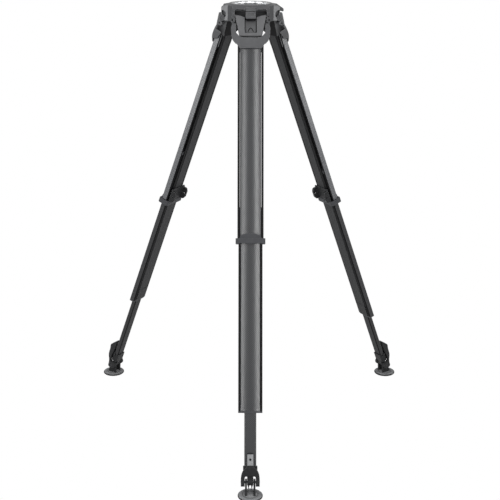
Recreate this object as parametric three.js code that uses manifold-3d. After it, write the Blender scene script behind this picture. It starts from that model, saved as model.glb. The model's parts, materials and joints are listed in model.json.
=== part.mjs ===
// A three-legged camera support with a half-ball bowl on top, flat nested carbon-fibre leg stages,
// one quick-release brake lever and one spread lock at the top of each leg, and pivoting rubber feet.
// Units are millimetres, +Z is up, and the front leg points along -Y.
import * as THREE from 'three';
import { mergeVertices } from 'three/addons/utils/BufferGeometryUtils.js';
import Module from 'manifold-3d';

const wasm = await Module();
wasm.setup();

// Whole stand
const spreadDegrees = 21.15;
const hipRadius = 70;
const ankleHeight = 42;
const runningGap = 0.35;
const seatGap = 0.3;
const joinOverlap = 0.05;
const cutOverrun = 4;
const roundSteps = 16;
const pinSteps = 12;
const legAzimuths = { front: -90, right: 30, left: 150 };

// Bowl ring
const bowlBallRadius = 50;
const bowlWall = 5;
const bowlDepth = 34;
const rimHeight = 43;
const rimRadius = 61;
const rimThickness = 9;
const bowlSteps = 32;
const bowlArcSteps = 6;
const shellArcSteps = 3;

// Crown casting
const crownProud = 21;
const crownRadius = hipRadius + crownProud;
const crownShoulderHeight = 33;
const crownShoulderBevel = 2.5;
const crownBottom = 8;
const crownCore = 42;
const crownEdgeBevel = 5;
const crownBayRadius = 75;
const crownBaySteps = 27;
const crownEar = 8;
const pocketWidth = 98;
const pocketRadius = 25.6;
const pocketCeiling = 32.5;
const pocketSteps = 24;
const pinBossRadius = 10;
const pinBossProud = 1.5;

// Hip block at the top of a leg
const blockTop = 13;
const blockHalfTop = 48;
const blockHalfBottom = 32;
const blockLength = 60;
const blockFace = 20.5;
const blockFaceEnd = 54;
const blockDip = 11;
const channelHalf = 18.5;
const channelFloor = 6;
const channelEnd = 46;
const thumbRadius = 9;
const thumbRise = 3;
const plugLength = 38;
const hipPinRadius = 5;
const hipPinHalf = 54;

// Spread lock
const lockHalf = 16.3;
const lockPivotOut = 13;
const lockPivotUp = 31;
const lockFaceTop = 20.5;
const lockCrest = 2.5;
const lockFaceBottom = 28.5;
const lockFaceDrop = 24;
const lockDrop = 32;
const lockEndOut = 21;
const lockPlate = 7;
const lockPinRadius = 2.4;
const lockPinReach = 3.5;
const lockLugRadius = 4.6;
const lockLugWidth = 4.5;
const lockRecess = 1.5;
const lockRecessHalf = 11;
const lockRecessTop = 5;
const lockRecessBottom = 19;
const lockOpenDegrees = { front: 0, left: 0, right: 39 };

// Brake lever, a wide domed bail that hugs the top of the leg
const leverPivotDown = 18;
const leverPivotOut = 1.5;
const leverBossRadius = 7.7;
const leverBossOuter = 57;
const leverPinRadius = 3;
const leverPinInner = 34;
const leverPinOuter = 54;
const leverDome = 126;
const leverCrest = 27.5;
const leverCrestDown = 57;
const leverShell = 3.2;
const leverHalf = 60;
const leverBow = 27;
const leverShoulder = 48;
const leverShoulderHalf = 58.5;
const leverFlank = 62;
const leverFlankHalf = 54.5;
const leverKnee = 78;
const leverKneeHalf = 42.5;
const leverBottom = 92;
const leverFootHalf = 32;
const leverWindowHalf = 44.5;
const leverWindowShoulder = 44;
const leverWindowFootHalf = 33;
const leverWindowFoot = 57;
const leverWindowEnd = 61.5;
const leverWindowEndHalf = 20;
const leverRib = 5;
const leverCheekTop = 43;
const leverCheekBack = 15;
const leverCheekEnd = 74;
const domeSteps = 48;

// Upper stage and its collar
const upperWidth = 79;
const upperDepth = 29;
const upperLength = 620;
const upperCorner = 5;
const upperPlateHalf = 31;
const upperRibHalf = 19;
const upperInnerCorner = 9;
const tubeWall = 2.5;
const grooveWidth = 1.6;
const grooveDepth = 0.6;
const plateCrown = 1;
const ribRise = 1.4;
const collarHeight = 17;
const collarLip = 3;
const collarWall = 5.2;
const collarTongueHalf = 31;
const collarTongueRise = 15;
const collarTongueThickness = 2.6;

// Spreader bracket on the inner side of the upper stage
const bracketHalf = 37;
const bracketHeight = 46;
const bracketBase = 3.4;
const bracketLugThickness = 8.5;
const bracketLugReach = 20;
const bracketLugHeight = 40;
const bracketHoleRadius = 3.6;
const bracketLugCorner = 10;
const bracketHoleReach = 12.4;

// Middle stage
const midWidth = 72.6;
const midDepth = 22.6;
const midLength = 600;
const midCorner = 4;
const midPlateHalf = 28.5;
const midRibHalf = 24;
const midInnerCorner = 4;
const midCapFlange = 5;
const midCapPlug = 16;
const midBushFlange = 10;
const midBushPlug = 20;
const frontMidOut = 505;
const leftMidOut = 413;
const rightMidOut = 483;
const midOut = { front: frontMidOut, left: leftMidOut, right: rightMidOut };
const screwRadius = 2.7;
const screwHead = 1.6;
const screwPlateThickness = 0.8;
const screwInset = 4.5;
const screwRise = 9;
const screwPitch = 26;

// Lower stage. The front leg's draw sets the height, and the other legs' lower stages make up what is left
const frontLowerOut = 156.7;
const lowerWidth = 36;
const lowerDepth = 15.6;
const lowerLength = 455;
const lowerCorner = 3.5;
const lowerWall = 2;
const lowerSocket = 24;
const lowerBushFlange = 8;
const lowerBushPlug = 16;

// Brake rod
const rodRadius = 4;
const rodEnd = 650;
const rodClearance = 1;
const rodSeat = 12;

// Ankle fork
const forkRise = 49;
const forkBottomRise = 17;
const forkHalf = 21.5;
const forkDepth = 22;
const forkNotch = 9;
const forkTongueHalf = 9.2;
const forkTongueRadius = 10;
const spikeHalfGap = 4.8;
const spikeRadius = 3;
const spikeLength = 15;
const anklePinRadius = 4;
const anklePinHalf = 28.5;

// Foot pad
const padRadius = 37.5;
const padRim = 4;
const padRimRound = 1.8;
const padCentre = 9;
const padPlateauRadius = 21;
const padShoulderRadius = 25;
const padShoulder = 7;
const padOffset = 11;
const padLugInner = 9.8;
const padLugOuter = 15.6;
const padLugRadius = 10;
const padLugFoot = 15;
const padSteps = 24;

// Rubber foot strap
const strapHalf = 28;
const strapLobeInner = 16.6;
const strapLobeRadius = 12.5;
const strapTabHalf = 9;
const strapTipRise = 86;
const strapTipOut = 20;
const strapKneeRise = 61;
const strapKneeOut = 42;
const strapBand = 7;
const strapNeckRise = 36;
const strapNeckOut = 31;
const strapNeckHalf = 23;
const strapHoleRadius = 3.4;
const strapBridgeRise = 20;

const quarterTurn = 90;
const spread = THREE.MathUtils.degToRad(spreadDegrees);
const upperStart = blockLength + seatGap;
const upperEnd = upperStart + upperLength;
const collarBottom = upperEnd + collarLip;
const legLength = collarBottom + frontMidOut + frontLowerOut + forkRise;
const hipHeight = ankleHeight + legLength * Math.cos(spread);
const blockTaper = (blockHalfTop - blockHalfBottom) / (blockTop + blockLength);
const blockHalfAt = (z) => blockHalfTop - blockTaper * (blockTop - z);
const leverBossInner = blockHalfAt(leverBossRadius - leverPivotDown) + runningGap;
const crownRim = crownRadius - crownEdgeBevel;

const finishes = {
  casting: new THREE.MeshStandardMaterial({ color: 0x55575a, roughness: 0.45, metalness: 0.6 }),
  machined: new THREE.MeshStandardMaterial({ color: 0xd8d9db, roughness: 0.25, metalness: 1 }),
  carbon: new THREE.MeshStandardMaterial({ color: 0x2b2c2e, roughness: 0.35, metalness: 0.1 }),
  polymer: new THREE.MeshStandardMaterial({ color: 0x3a3b3d, roughness: 0.6, metalness: 0 }),
  steel: new THREE.MeshStandardMaterial({ color: 0xb4b6b8, roughness: 0.3, metalness: 1 }),
  rubber: new THREE.MeshStandardMaterial({ color: 0x2a2b2d, roughness: 0.85, metalness: 0 }),
};

// Closed solids from three.js geometry, and back
function solid(geometry) {
  const plain = geometry.clone();
  plain.deleteAttribute('normal');
  plain.deleteAttribute('uv');
  const merged = mergeVertices(plain);
  return new wasm.Manifold(new wasm.Mesh({
    numProp: 3,
    vertProperties: new Float32Array(merged.attributes.position.array),
    triVerts: new Uint32Array(merged.index.array),
  }));
}

function geometryOf(body) {
  const mesh = body.getMesh();
  const geometry = new THREE.BufferGeometry();
  geometry.setAttribute('position', new THREE.BufferAttribute(new Float32Array(mesh.vertProperties), 3));
  geometry.setIndex(new THREE.BufferAttribute(new Uint32Array(mesh.triVerts), 1));
  geometry.computeVertexNormals();
  return geometry;
}

const join = (bodies) => bodies.reduce((sum, body) => sum.add(body));
const cut = (body, tools) => tools.reduce((rest, tool) => rest.subtract(tool), body);

function shapeOf(points) {
  return new THREE.Shape(points.map(([x, y]) => new THREE.Vector2(x, y)));
}

// An outline in X and Y, extruded up from low to high
function alongZ(shape, low, high) {
  const geometry = new THREE.ExtrudeGeometry(shape, {
    depth: high - low, bevelEnabled: false, curveSegments: roundSteps / 2,
  });
  return solid(geometry.translate(0, 0, low));
}

// An outline in Y and Z, extruded along X
function alongX(shape, low, high) {
  const geometry = new THREE.ExtrudeGeometry(shape, {
    depth: high - low, bevelEnabled: false, curveSegments: roundSteps / 2,
  });
  const turn = new THREE.Matrix4().makeBasis(
    new THREE.Vector3(0, 1, 0), new THREE.Vector3(0, 0, 1), new THREE.Vector3(1, 0, 0));
  return solid(geometry.translate(0, 0, low).applyMatrix4(turn));
}

// An outline in X and Z, extruded along Y
function alongY(shape, low, high) {
  const geometry = new THREE.ExtrudeGeometry(shape, {
    depth: high - low, bevelEnabled: false, curveSegments: roundSteps / 2,
  });
  return solid(geometry.rotateX(Math.PI / 2).translate(0, high, 0));
}

function block(xs, ys, zs) {
  const geometry = new THREE.BoxGeometry(xs[1] - xs[0], ys[1] - ys[0], zs[1] - zs[0]);
  return solid(geometry.translate((xs[0] + xs[1]) / 2, (ys[0] + ys[1]) / 2, (zs[0] + zs[1]) / 2));
}

function rodAlongX(radius, low, high, y, z, steps = pinSteps) {
  const geometry = new THREE.CylinderGeometry(radius, radius, high - low, steps);
  return solid(geometry.rotateZ(Math.PI / 2).translate((low + high) / 2, y, z));
}

function rodAlongZ(radius, low, high, x, y, steps = pinSteps) {
  const geometry = new THREE.CylinderGeometry(radius, radius, high - low, steps);
  return solid(geometry.rotateX(Math.PI / 2).translate(x, y, (low + high) / 2));
}

function turned(profile, steps) {
  const points = profile.map(([r, z]) => new THREE.Vector2(r, z));
  return solid(new THREE.LatheGeometry(points, steps).rotateX(Math.PI / 2));
}

function mirrored(points) {
  return [...points, ...points.filter(([x]) => x !== 0).reverse().map(([x, y]) => [-x, y])];
}

// Section of a leg stage: crowned outer plate between two grooves, plain sides, raised inner strip
function stageOutline({ width, depth, corner, plateHalf, ribHalf, innerCorner }) {
  const side = width / 2;
  const top = depth / 2;
  const edge = top - plateCrown;
  const groove = plateHalf + grooveWidth;
  const flatShare = 0.6;
  return mirrored([
    [0, top],
    [plateHalf * flatShare, top - plateCrown * (1 - flatShare)],
    [plateHalf, edge],
    [plateHalf, edge - grooveDepth],
    [groove, edge - grooveDepth],
    [groove, edge],
    [side - corner, edge],
    [side - corner / 4, edge - corner / 4],
    [side, edge - corner],
    [side, innerCorner - top],
    [side - innerCorner / 4, innerCorner / 4 - top + ribRise],
    [side - innerCorner, ribRise - top],
    [ribHalf, ribRise - top],
    [ribHalf, -top],
  ]);
}

function boreOutline(width, depth, corner) {
  const side = width / 2;
  const top = depth / 2;
  return mirrored([[side - corner, top], [side, top - corner], [side, corner - top], [side - corner, -top]]);
}

const upperSection = {
  width: upperWidth, depth: upperDepth, corner: upperCorner,
  plateHalf: upperPlateHalf, ribHalf: upperRibHalf, innerCorner: upperInnerCorner,
};
const midSection = {
  width: midWidth, depth: midDepth, corner: midCorner,
  plateHalf: midPlateHalf, ribHalf: midRibHalf, innerCorner: midInnerCorner,
};
const upperBore = boreOutline(midWidth + 2 * runningGap, midDepth + 2 * runningGap, midCorner / 2);
const lowerBody = boreOutline(lowerWidth, lowerDepth, lowerCorner);
const inset = (width, depth, corner, gap) => boreOutline(width - 2 * gap, depth - 2 * gap, corner);
const lowerBore = inset(lowerWidth, lowerDepth, lowerCorner - lowerWall / 2, lowerWall);
const midBore = inset(midWidth, midDepth, midCorner, tubeWall);
const grown = (width, depth, corner, gap) => boreOutline(width + 2 * gap, depth + 2 * gap, corner + gap / 2);

// Points down a ball centred in the rim's plane, from one depth to a lower one
function ballArc(radius, fromDepth, toDepth, steps) {
  return Array.from({ length: steps + 1 }, (_, i) => {
    const depth = fromDepth + (toDepth - fromDepth) * (i / steps);
    return [Math.sqrt(radius ** 2 - depth ** 2), rimHeight - depth];
  });
}

function bowlRing() {
  const outer = ballArc(bowlBallRadius + bowlWall, rimThickness, bowlDepth, shellArcSteps);
  const inner = ballArc(bowlBallRadius, 0, bowlDepth, bowlArcSteps);
  return turned([
    ...outer.reverse(),
    [rimRadius, rimHeight - rimThickness],
    [rimRadius, rimHeight],
    ...inner,
    outer[0],
  ], bowlSteps);
}

function crownCasting() {
  const seat = rimRadius + seatGap;
  const seatFloor = rimHeight - rimThickness - seatGap;
  const lip = rimRadius + bowlWall;
  const half = pocketWidth / 2;
  const reach = crownRadius + cutOverrun;
  const low = -crownBottom - cutOverrun;
  const top = rimHeight + cutOverrun;
  const turns = Object.values(legAzimuths).map((azimuth) => [0, 0, azimuth - quarterTurn]);
  const turnedToLegs = (piece) => turns.map((turn) => piece.rotate(turn));
  const casting = turned([
    [crownCore, -crownBottom],
    [crownRim, -crownBottom],
    [crownRadius, crownEdgeBevel - crownBottom],
    [crownRadius, crownShoulderHeight - crownShoulderBevel],
    [crownRadius - crownShoulderBevel, crownShoulderHeight],
    [lip, rimHeight],
    [crownCore, rimHeight],
    [crownCore, -crownBottom],
  ], bowlSteps);

  // Two ears for each leg stand proud of the bays between the legs
  const earHalf = half + crownEar;
  const ears = block([-earHalf, earHalf], [0, reach + cutOverrun], [low - cutOverrun, top + cutOverrun]);
  const bays = cut(turned([
    [crownBayRadius, low], [reach, low], [reach, top], [crownBayRadius, top], [crownBayRadius, low],
  ], crownBaySteps), turnedToLegs(ears));

  const core = crownCore - tubeWall;
  const shell = ballArc(bowlBallRadius + bowlWall, rimThickness, bowlDepth, shellArcSteps);
  const seatCut = turned([
    [0, low],
    [core, low],
    [core, rimHeight - bowlDepth - seatGap],
    ...shell.reverse().map(([r, z]) => [r + seatGap * 2, z - seatGap]),
    [seat, seatFloor],
    [seat, top],
    [0, top],
    [0, low],
  ], bowlSteps);

  // The spread lock sits in a slot in the roof of the pocket, with its pin in a lug on either side
  const lockPivot = [hipRadius + lockPivotOut, lockPivotUp];
  const lockSwing = Math.hypot(lockFaceTop - lockPivotOut, lockCrest) + seatGap;
  const slotHalf = lockHalf + seatGap;
  const lugHalf = slotHalf + lockLugWidth;
  const lockBoreHalf = lockHalf + lockPinReach + seatGap;
  const lug = rodAlongX(lockLugRadius, -lugHalf, lugHalf, ...lockPivot)
    .add(block([-lugHalf, lugHalf], [lockPivot[0] - lockLugRadius, lockPivot[0] + lockLugRadius],
      [lockPivotUp, pocketCeiling + cutOverrun]));
  const slot = rodAlongX(lockSwing, -slotHalf, slotHalf, ...lockPivot)
    .add(block([-slotHalf, slotHalf], [lockPivot[0], reach], [0, top]));
  const pocket = join([
    alongX(shapeOf([
      [hipRadius, low], [reach, low], [reach, pocketCeiling], [hipRadius, pocketCeiling],
    ]), -half, half),
    alongX(shapeOf([
      [hipRadius - pocketRadius, low], [hipRadius + joinOverlap, low],
      [hipRadius + joinOverlap, 0], [hipRadius - pocketRadius, 0],
    ]), -half, half),
    rodAlongX(pocketRadius, -half, half, hipRadius, 0, pocketSteps),
  ]).subtract(lug).add(slot);

  const rim = turned([[0, low], [crownRadius + pinBossProud, low], [crownRadius + pinBossProud, rimHeight],
    [0, rimHeight], [0, low]], bowlSteps);
  const arms = join([-1, 1].map((way) => {
    const ends = [way * (half - crownEar), way * (earHalf + pinBossProud)].sort((a, b) => a - b);
    return rodAlongX(pinBossRadius, ends[0], ends[1], hipRadius, 0, roundSteps);
  })).intersect(rim);
  const bores = join([
    rodAlongX(hipPinRadius + seatGap, -earHalf - cutOverrun, earHalf + cutOverrun, hipRadius, 0),
    rodAlongX(lockPinRadius + seatGap, -lockBoreHalf, lockBoreHalf, ...lockPivot),
  ]);
  const body = join([casting.subtract(bays), ...turnedToLegs(arms)]);
  return cut(body, [...turnedToLegs(pocket), ...turnedToLegs(bores), seatCut]);
}

// Leg pieces in the leg's own frame: X across, Y outward from the flat face, Z up along the leg
function hipBlock() {
  const span = -blockLength;
  const face = alongY(shapeOf([
    [-channelHalf, blockTop - blockDip], [-blockHalfTop, blockTop], [-blockHalfBottom, span],
    [blockHalfBottom, span], [blockHalfTop, blockTop], [channelHalf, blockTop - blockDip],
  ]), -upperDepth / 2, blockFace);
  const sideShare = 0.55;
  const profile = new THREE.Shape();
  profile.moveTo(-upperDepth / 2, span);
  profile.lineTo(blockFace, span);
  profile.lineTo(blockFace, blockTop * sideShare);
  profile.lineTo(blockFace * sideShare, blockTop);
  profile.lineTo(-upperDepth / 2 * sideShare, blockTop);
  profile.lineTo(-upperDepth / 2, blockTop * sideShare);
  const plug = alongZ(shapeOf(grown(midWidth, midDepth, midCorner / 2, runningGap - seatGap)),
    span - plugLength, span + joinOverlap);
  const channel = block([-channelHalf, channelHalf], [channelFloor, blockFace + cutOverrun],
    [-channelEnd, blockTop + cutOverrun]);
  const step = block([-blockHalfTop, blockHalfTop], [upperDepth / 2, blockFace + cutOverrun],
    [span - cutOverrun, -blockFaceEnd]);
  const thumb = rodAlongX(thumbRadius, -thumbRadius, thumbRadius, channelFloor - thumbRadius + thumbRise,
    thumbRadius - channelEnd);
  const studs = join([-1, 1].map((way) => {
    const ends = [way * leverPinInner, way * leverPinOuter].sort((a, b) => a - b);
    return rodAlongX(leverPinRadius, ends[0], ends[1], leverPivotOut, -leverPivotDown);
  }));
  const body = face.intersect(alongX(profile, -blockHalfTop - cutOverrun, blockHalfTop + cutOverrun));
  return cut(join([body.subtract(channel).subtract(step), thumb, plug, studs]), [
    rodAlongX(hipPinRadius + seatGap, -blockHalfTop - cutOverrun, blockHalfTop + cutOverrun, 0, 0),
    rodAlongZ(rodRadius + seatGap, span - plugLength - cutOverrun, span - plugLength + rodSeat, 0, 0),
  ]);
}

function hipPin() {
  return rodAlongX(hipPinRadius, -hipPinHalf, hipPinHalf, 0, 0);
}

// Spread lock, drawn closed about its own pin
function hipLock() {
  const out = lockFaceTop - lockPivotOut;
  const low = lockFaceBottom - lockPivotOut;
  const end = lockEndOut - lockPivotOut;
  const profile = shapeOf([
    [-lockPinRadius, lockCrest], [out - lockCrest, lockCrest], [out, 0], [low, -lockFaceDrop],
    [low - lockCrest, lockCrest - lockDrop], [end + lockCrest, -lockDrop], [end, lockCrest - lockDrop],
    [low - lockPlate - lockCrest, -lockFaceDrop / 2], [-lockPinRadius, -lockPinRadius],
  ].reverse());
  const sunk = (down) => out + (low - out) * (down / lockFaceDrop) - lockRecess;
  const recess = alongX(shapeOf([
    [sunk(lockRecessTop), -lockRecessTop], [sunk(lockRecessBottom), -lockRecessBottom],
    [low + cutOverrun, -lockRecessBottom], [low + cutOverrun, -lockRecessTop],
  ]), -lockRecessHalf, lockRecessHalf);
  const pinHalf = lockHalf + lockPinReach;
  return alongX(profile, -lockHalf, lockHalf).subtract(recess)
    .add(rodAlongX(lockPinRadius, -pinHalf, pinHalf, 0, 0));
}

// Ball that the brake lever's skin follows, less an inset
function leverBall(inset) {
  const geometry = new THREE.SphereGeometry(leverDome - inset, domeSteps, domeSteps / 2);
  return solid(geometry.rotateZ(Math.PI / 2).translate(0, leverCrest - leverDome, -leverCrestDown));
}

function brakeLever() {
  const depth = [-leverCheekBack - cutOverrun, leverCrest + cutOverrun];
  const outline = (inset, overrun) => alongY(shapeOf(mirrored([
    [leverBossOuter - inset, overrun - leverPivotDown], [leverHalf - inset, -leverBow],
    [leverShoulderHalf - inset, -leverShoulder], [leverFlankHalf - inset, -leverFlank],
    [leverKneeHalf - inset, -leverKnee], [leverFootHalf - inset, -leverBottom - overrun],
  ])), ...depth);
  const window = alongY(shapeOf(mirrored([
    [leverWindowHalf, cutOverrun - leverPivotDown], [leverWindowHalf, -leverWindowShoulder],
    [leverWindowFootHalf, -leverWindowFoot], [leverWindowEndHalf, -leverWindowEnd],
  ])), ...depth);
  const skin = leverBall(0).subtract(leverBall(leverShell)).intersect(outline(0, 0)).subtract(window);

  // Side walls: a rib down each arm, then a cheek that reaches back beside the leg
  const clear = upperDepth / 2 + runningGap;
  const cheek = alongX(shapeOf([
    [leverCrest, -leverPivotDown], [leverPivotOut, -leverPivotDown], [leverRib, -leverBow],
    [leverRib + leverShell / 2, leverShell - leverCheekTop], [-leverCheekBack, -leverCheekTop],
    [leverShell - leverCheekBack, -leverShoulder], [0, -leverCheekEnd], [clear, -leverCheekEnd - leverShell],
    [clear, -leverBottom], [leverCrest, -leverBottom],
  ].reverse()), -leverHalf, leverHalf);
  const rim = outline(0, 0).subtract(outline(leverShell, cutOverrun));
  const walls = rim.intersect(cheek).intersect(leverBall(0));
  const bosses = [-1, 1].map((way) => {
    const ends = [way * leverBossInner, way * leverBossOuter].sort((a, b) => a - b);
    return rodAlongX(leverBossRadius, ends[0], ends[1], leverPivotOut, -leverPivotDown, roundSteps);
  });
  return join([skin, walls, ...bosses]).subtract(
    rodAlongX(leverPinRadius + seatGap, -leverHalf, leverHalf, leverPivotOut, -leverPivotDown));
}

function brakeRod() {
  return rodAlongZ(rodRadius, -rodEnd, -blockLength - plugLength + rodSeat - seatGap, 0, 0);
}

function upperTube() {
  return alongZ(shapeOf(stageOutline(upperSection)), -upperEnd, -upperStart)
    .subtract(alongZ(shapeOf(upperBore), -upperEnd - cutOverrun, -upperStart + cutOverrun));
}

function collar() {
  const hole = grown(upperWidth, upperDepth, upperCorner / 2, seatGap);
  const ring = grown(upperWidth, upperDepth, upperCorner, collarWall);
  const face = upperDepth / 2 + seatGap;
  const tongue = new THREE.Shape();
  tongue.moveTo(-collarTongueHalf, -collarBottom + collarHeight - cutOverrun);
  tongue.lineTo(collarTongueHalf, -collarBottom + collarHeight - cutOverrun);
  tongue.quadraticCurveTo(collarTongueHalf / 2, -collarBottom + collarHeight + collarTongueRise,
    0, -collarBottom + collarHeight + collarTongueRise);
  tongue.quadraticCurveTo(-collarTongueHalf / 2, -collarBottom + collarHeight + collarTongueRise,
    -collarTongueHalf, -collarBottom + collarHeight - cutOverrun);
  const top = -collarBottom + collarHeight;
  return alongZ(shapeOf(ring), -collarBottom, top)
    .add(alongY(tongue, face, face + collarTongueThickness))
    .subtract(alongZ(shapeOf(hole), -collarBottom - cutOverrun, top + collarTongueRise));
}

function spreaderBracket() {
  const low = -collarBottom + collarHeight + seatGap;
  const back = -upperDepth / 2 - seatGap;
  const base = block([-bracketHalf, bracketHalf], [back - bracketBase, back], [low, low + bracketHeight]);
  const lug = shapeOf([
    [back - bracketBase / 2, low], [back - bracketLugReach + bracketLugCorner / 2, low],
    [back - bracketLugReach, low + bracketLugCorner],
    [back - bracketLugReach, low + bracketLugHeight - bracketLugCorner],
    [back - bracketLugReach + bracketLugCorner / 2, low + bracketLugHeight],
    [back - bracketBase / 2, low + bracketLugHeight],
  ]);
  const lugs = join([-1, 1].map((way) => {
    const ends = [way * bracketHalf, way * (bracketHalf - bracketLugThickness)].sort((a, b) => a - b);
    return alongX(lug, ends[0], ends[1]);
  }));
  const hole = rodAlongX(bracketHoleRadius, -bracketHalf - cutOverrun, bracketHalf + cutOverrun,
    back - bracketHoleReach, low + bracketLugHeight / 2);
  return base.add(lugs).subtract(hole);
}

function midTube(end) {
  return alongZ(shapeOf(stageOutline(midSection)), -end, -end + midLength)
    .subtract(alongZ(shapeOf(midBore), -end - cutOverrun, -end + midLength + cutOverrun));
}

function midBush(end) {
  const top = -end + midLength + seatGap;
  const plug = inset(midWidth, midDepth, midCorner, tubeWall + seatGap);
  return alongZ(shapeOf(stageOutline(midSection)), top, top + midBushFlange)
    .add(alongZ(shapeOf(plug), top - midBushPlug, top + midBushFlange / 2))
    .subtract(rodAlongZ(rodRadius + rodClearance, top - midBushPlug - cutOverrun,
      top + midBushFlange + cutOverrun, 0, 0));
}

function midEndCap(end) {
  const low = -end - seatGap;
  const plug = inset(midWidth, midDepth, midCorner, tubeWall + seatGap);
  const hole = grown(lowerWidth, lowerDepth, lowerCorner, runningGap);
  return alongZ(shapeOf(stageOutline(midSection)), low - midCapFlange, low)
    .add(alongZ(shapeOf(plug), low - midCapFlange / 2, low + midCapPlug))
    .subtract(alongZ(shapeOf(hole), low - midCapFlange - cutOverrun, low + midCapPlug + cutOverrun));
}

// Thin plate with round screw heads, at the foot of the middle stage's inner strip
function screwPlate(end) {
  const face = -midDepth / 2 - seatGap;
  const places = [
    [screwInset - midRibHalf, screwRise], [midRibHalf - screwInset, screwRise], [0, screwRise],
    [screwInset - midRibHalf, screwRise + screwPitch], [midRibHalf - screwInset, screwRise + screwPitch],
  ];
  const plate = block([-midRibHalf, midRibHalf], [face - screwPlateThickness, face],
    [-end, screwRise * 2 + screwPitch - end]);
  const heads = places.map(([x, up]) => solid(new THREE.CylinderGeometry(
    screwRadius, screwRadius, screwHead, roundSteps / 2,
  ).translate(x, face - screwHead / 2, up - end)));
  return join([plate, ...heads]);
}

function lowerTube() {
  const end = legLength - forkRise + lowerSocket - seatGap;
  return alongZ(shapeOf(lowerBody), -end, -end + lowerLength)
    .subtract(alongZ(shapeOf(lowerBore), -end - cutOverrun, -end + lowerLength + cutOverrun));
}

function lowerBush() {
  const top = -(legLength - forkRise + lowerSocket - seatGap) + lowerLength + seatGap;
  const head = inset(midWidth, midDepth, midCorner, tubeWall + runningGap);
  const plug = inset(lowerWidth, lowerDepth, lowerCorner - lowerWall / 2, lowerWall + seatGap);
  return alongZ(shapeOf(head), top, top + lowerBushFlange)
    .add(alongZ(shapeOf(plug), top - lowerBushPlug, top + lowerBushFlange / 2))
    .subtract(rodAlongZ(rodRadius + rodClearance, top - lowerBushPlug - cutOverrun,
      top + lowerBushFlange + cutOverrun, 0, 0));
}

// Ankle pieces, about the ankle pin: Y and Z run as in the leg
function spikeFork() {
  const shell = boreOutline(2 * forkHalf, forkDepth, lowerCorner);
  const side = shapeOf([
    [-forkDepth / 2, forkRise], [0, forkRise - forkNotch], [forkDepth / 2, forkRise],
    [forkDepth / 2, forkBottomRise + forkNotch], [forkTongueRadius, forkBottomRise],
    [-forkTongueRadius, forkBottomRise], [-forkDepth / 2, forkBottomRise + forkNotch],
  ]);
  const socket = grown(lowerWidth, lowerDepth, lowerCorner, seatGap);
  const body = alongZ(shapeOf(shell), forkBottomRise, forkRise)
    .intersect(alongX(side, -forkHalf, forkHalf))
    .subtract(alongZ(shapeOf(socket), forkRise - lowerSocket, forkRise + cutOverrun));
  const tongue = rodAlongX(forkTongueRadius, -forkTongueHalf, forkTongueHalf, 0, 0)
    .add(block([-forkTongueHalf, forkTongueHalf], [-forkTongueRadius, forkTongueRadius],
      [0, forkBottomRise + forkNotch / 2]));
  const spikes = join([-1, 1].map((way) => {
    const cone = new THREE.ConeGeometry(spikeRadius, spikeLength, roundSteps / 2).rotateX(-Math.PI / 2);
    return solid(cone.translate(way * spikeHalfGap, 0, spikeRadius - forkTongueRadius - spikeLength / 2));
  }));
  return join([body, tongue, spikes])
    .subtract(rodAlongX(anklePinRadius + seatGap, -forkHalf - cutOverrun, forkHalf + cutOverrun, 0, 0));
}

function anklePin() {
  return rodAlongX(anklePinRadius, -anklePinHalf, anklePinHalf, 0, 0);
}

function footStrap() {
  const inner = strapKneeOut - strapBand;
  const side = shapeOf([
    [strapTipOut, strapTipRise], [strapTipOut + strapBand / 2, strapTipRise - strapBand * 2],
    [inner - strapBand, strapKneeRise - strapBand], [strapNeckOut - strapBand, strapNeckRise],
    [strapLobeRadius + strapBand / 2, strapLobeRadius], [0, strapLobeRadius], [0, -strapLobeRadius],
    [strapLobeRadius / 2, -strapLobeRadius], [strapLobeRadius + strapBand, strapLobeRadius / 2],
    [strapNeckOut, strapNeckRise - strapBand], [strapKneeOut, strapKneeRise - strapBand],
    [strapKneeOut, strapKneeRise],
  ].reverse());
  const front = shapeOf(mirrored([
    [strapTabHalf, strapTipRise + cutOverrun], [strapTabHalf, strapKneeRise - strapBand],
    [strapNeckHalf, strapNeckRise], [strapHalf, strapLobeRadius], [strapHalf, -strapLobeRadius - cutOverrun],
  ]));
  const reach = strapKneeOut + cutOverrun;
  const band = alongX(side, -strapHalf, strapHalf).intersect(alongY(front, -cutOverrun, reach));
  const lobes = rodAlongX(strapLobeRadius, -strapHalf, strapHalf, 0, 0);
  return cut(band.add(lobes), [
    block([-strapLobeInner, strapLobeInner], [-reach, reach], [-reach, strapBridgeRise]),
    rodAlongX(anklePinRadius + seatGap, -strapHalf - cutOverrun, strapHalf + cutOverrun, 0, 0),
    alongY(new THREE.Shape().absarc(0, 0, strapHoleRadius, 0, Math.PI * 2), 0, reach)
      .translate([0, 0, (strapKneeRise + strapTipRise) / 2 - strapBand / 2]),
  ]);
}

// The pad stands on the floor, so it is drawn upright about the ankle pin
function footPad() {
  const dish = turned([
    [0, 0], [padRadius - padRimRound, 0], [padRadius, padRimRound], [padRadius, padRim],
    [padRadius - padRimRound, padRim + padRimRound], [padShoulderRadius, padShoulder],
    [padPlateauRadius, padCentre], [0, padCentre],
  ], padSteps).translate([0, padOffset, -ankleHeight]);
  const base = padCentre - ankleHeight - padRimRound;
  const side = shapeOf([
    [-padLugRadius, 0], [-padLugFoot / 2, base], [padOffset + padLugFoot, base], [padLugRadius, 0],
  ]);
  const lugs = join([-1, 1].map((way) => {
    const ends = [way * padLugInner, way * padLugOuter].sort((a, b) => a - b);
    return rodAlongX(padLugRadius, ends[0], ends[1], 0, 0).add(alongX(side, ends[0], ends[1]));
  }));
  return dish.add(lugs)
    .subtract(rodAlongX(anklePinRadius + seatGap, -padLugOuter - cutOverrun, padLugOuter + cutOverrun, 0, 0));
}

const stand = new THREE.Group();

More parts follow.
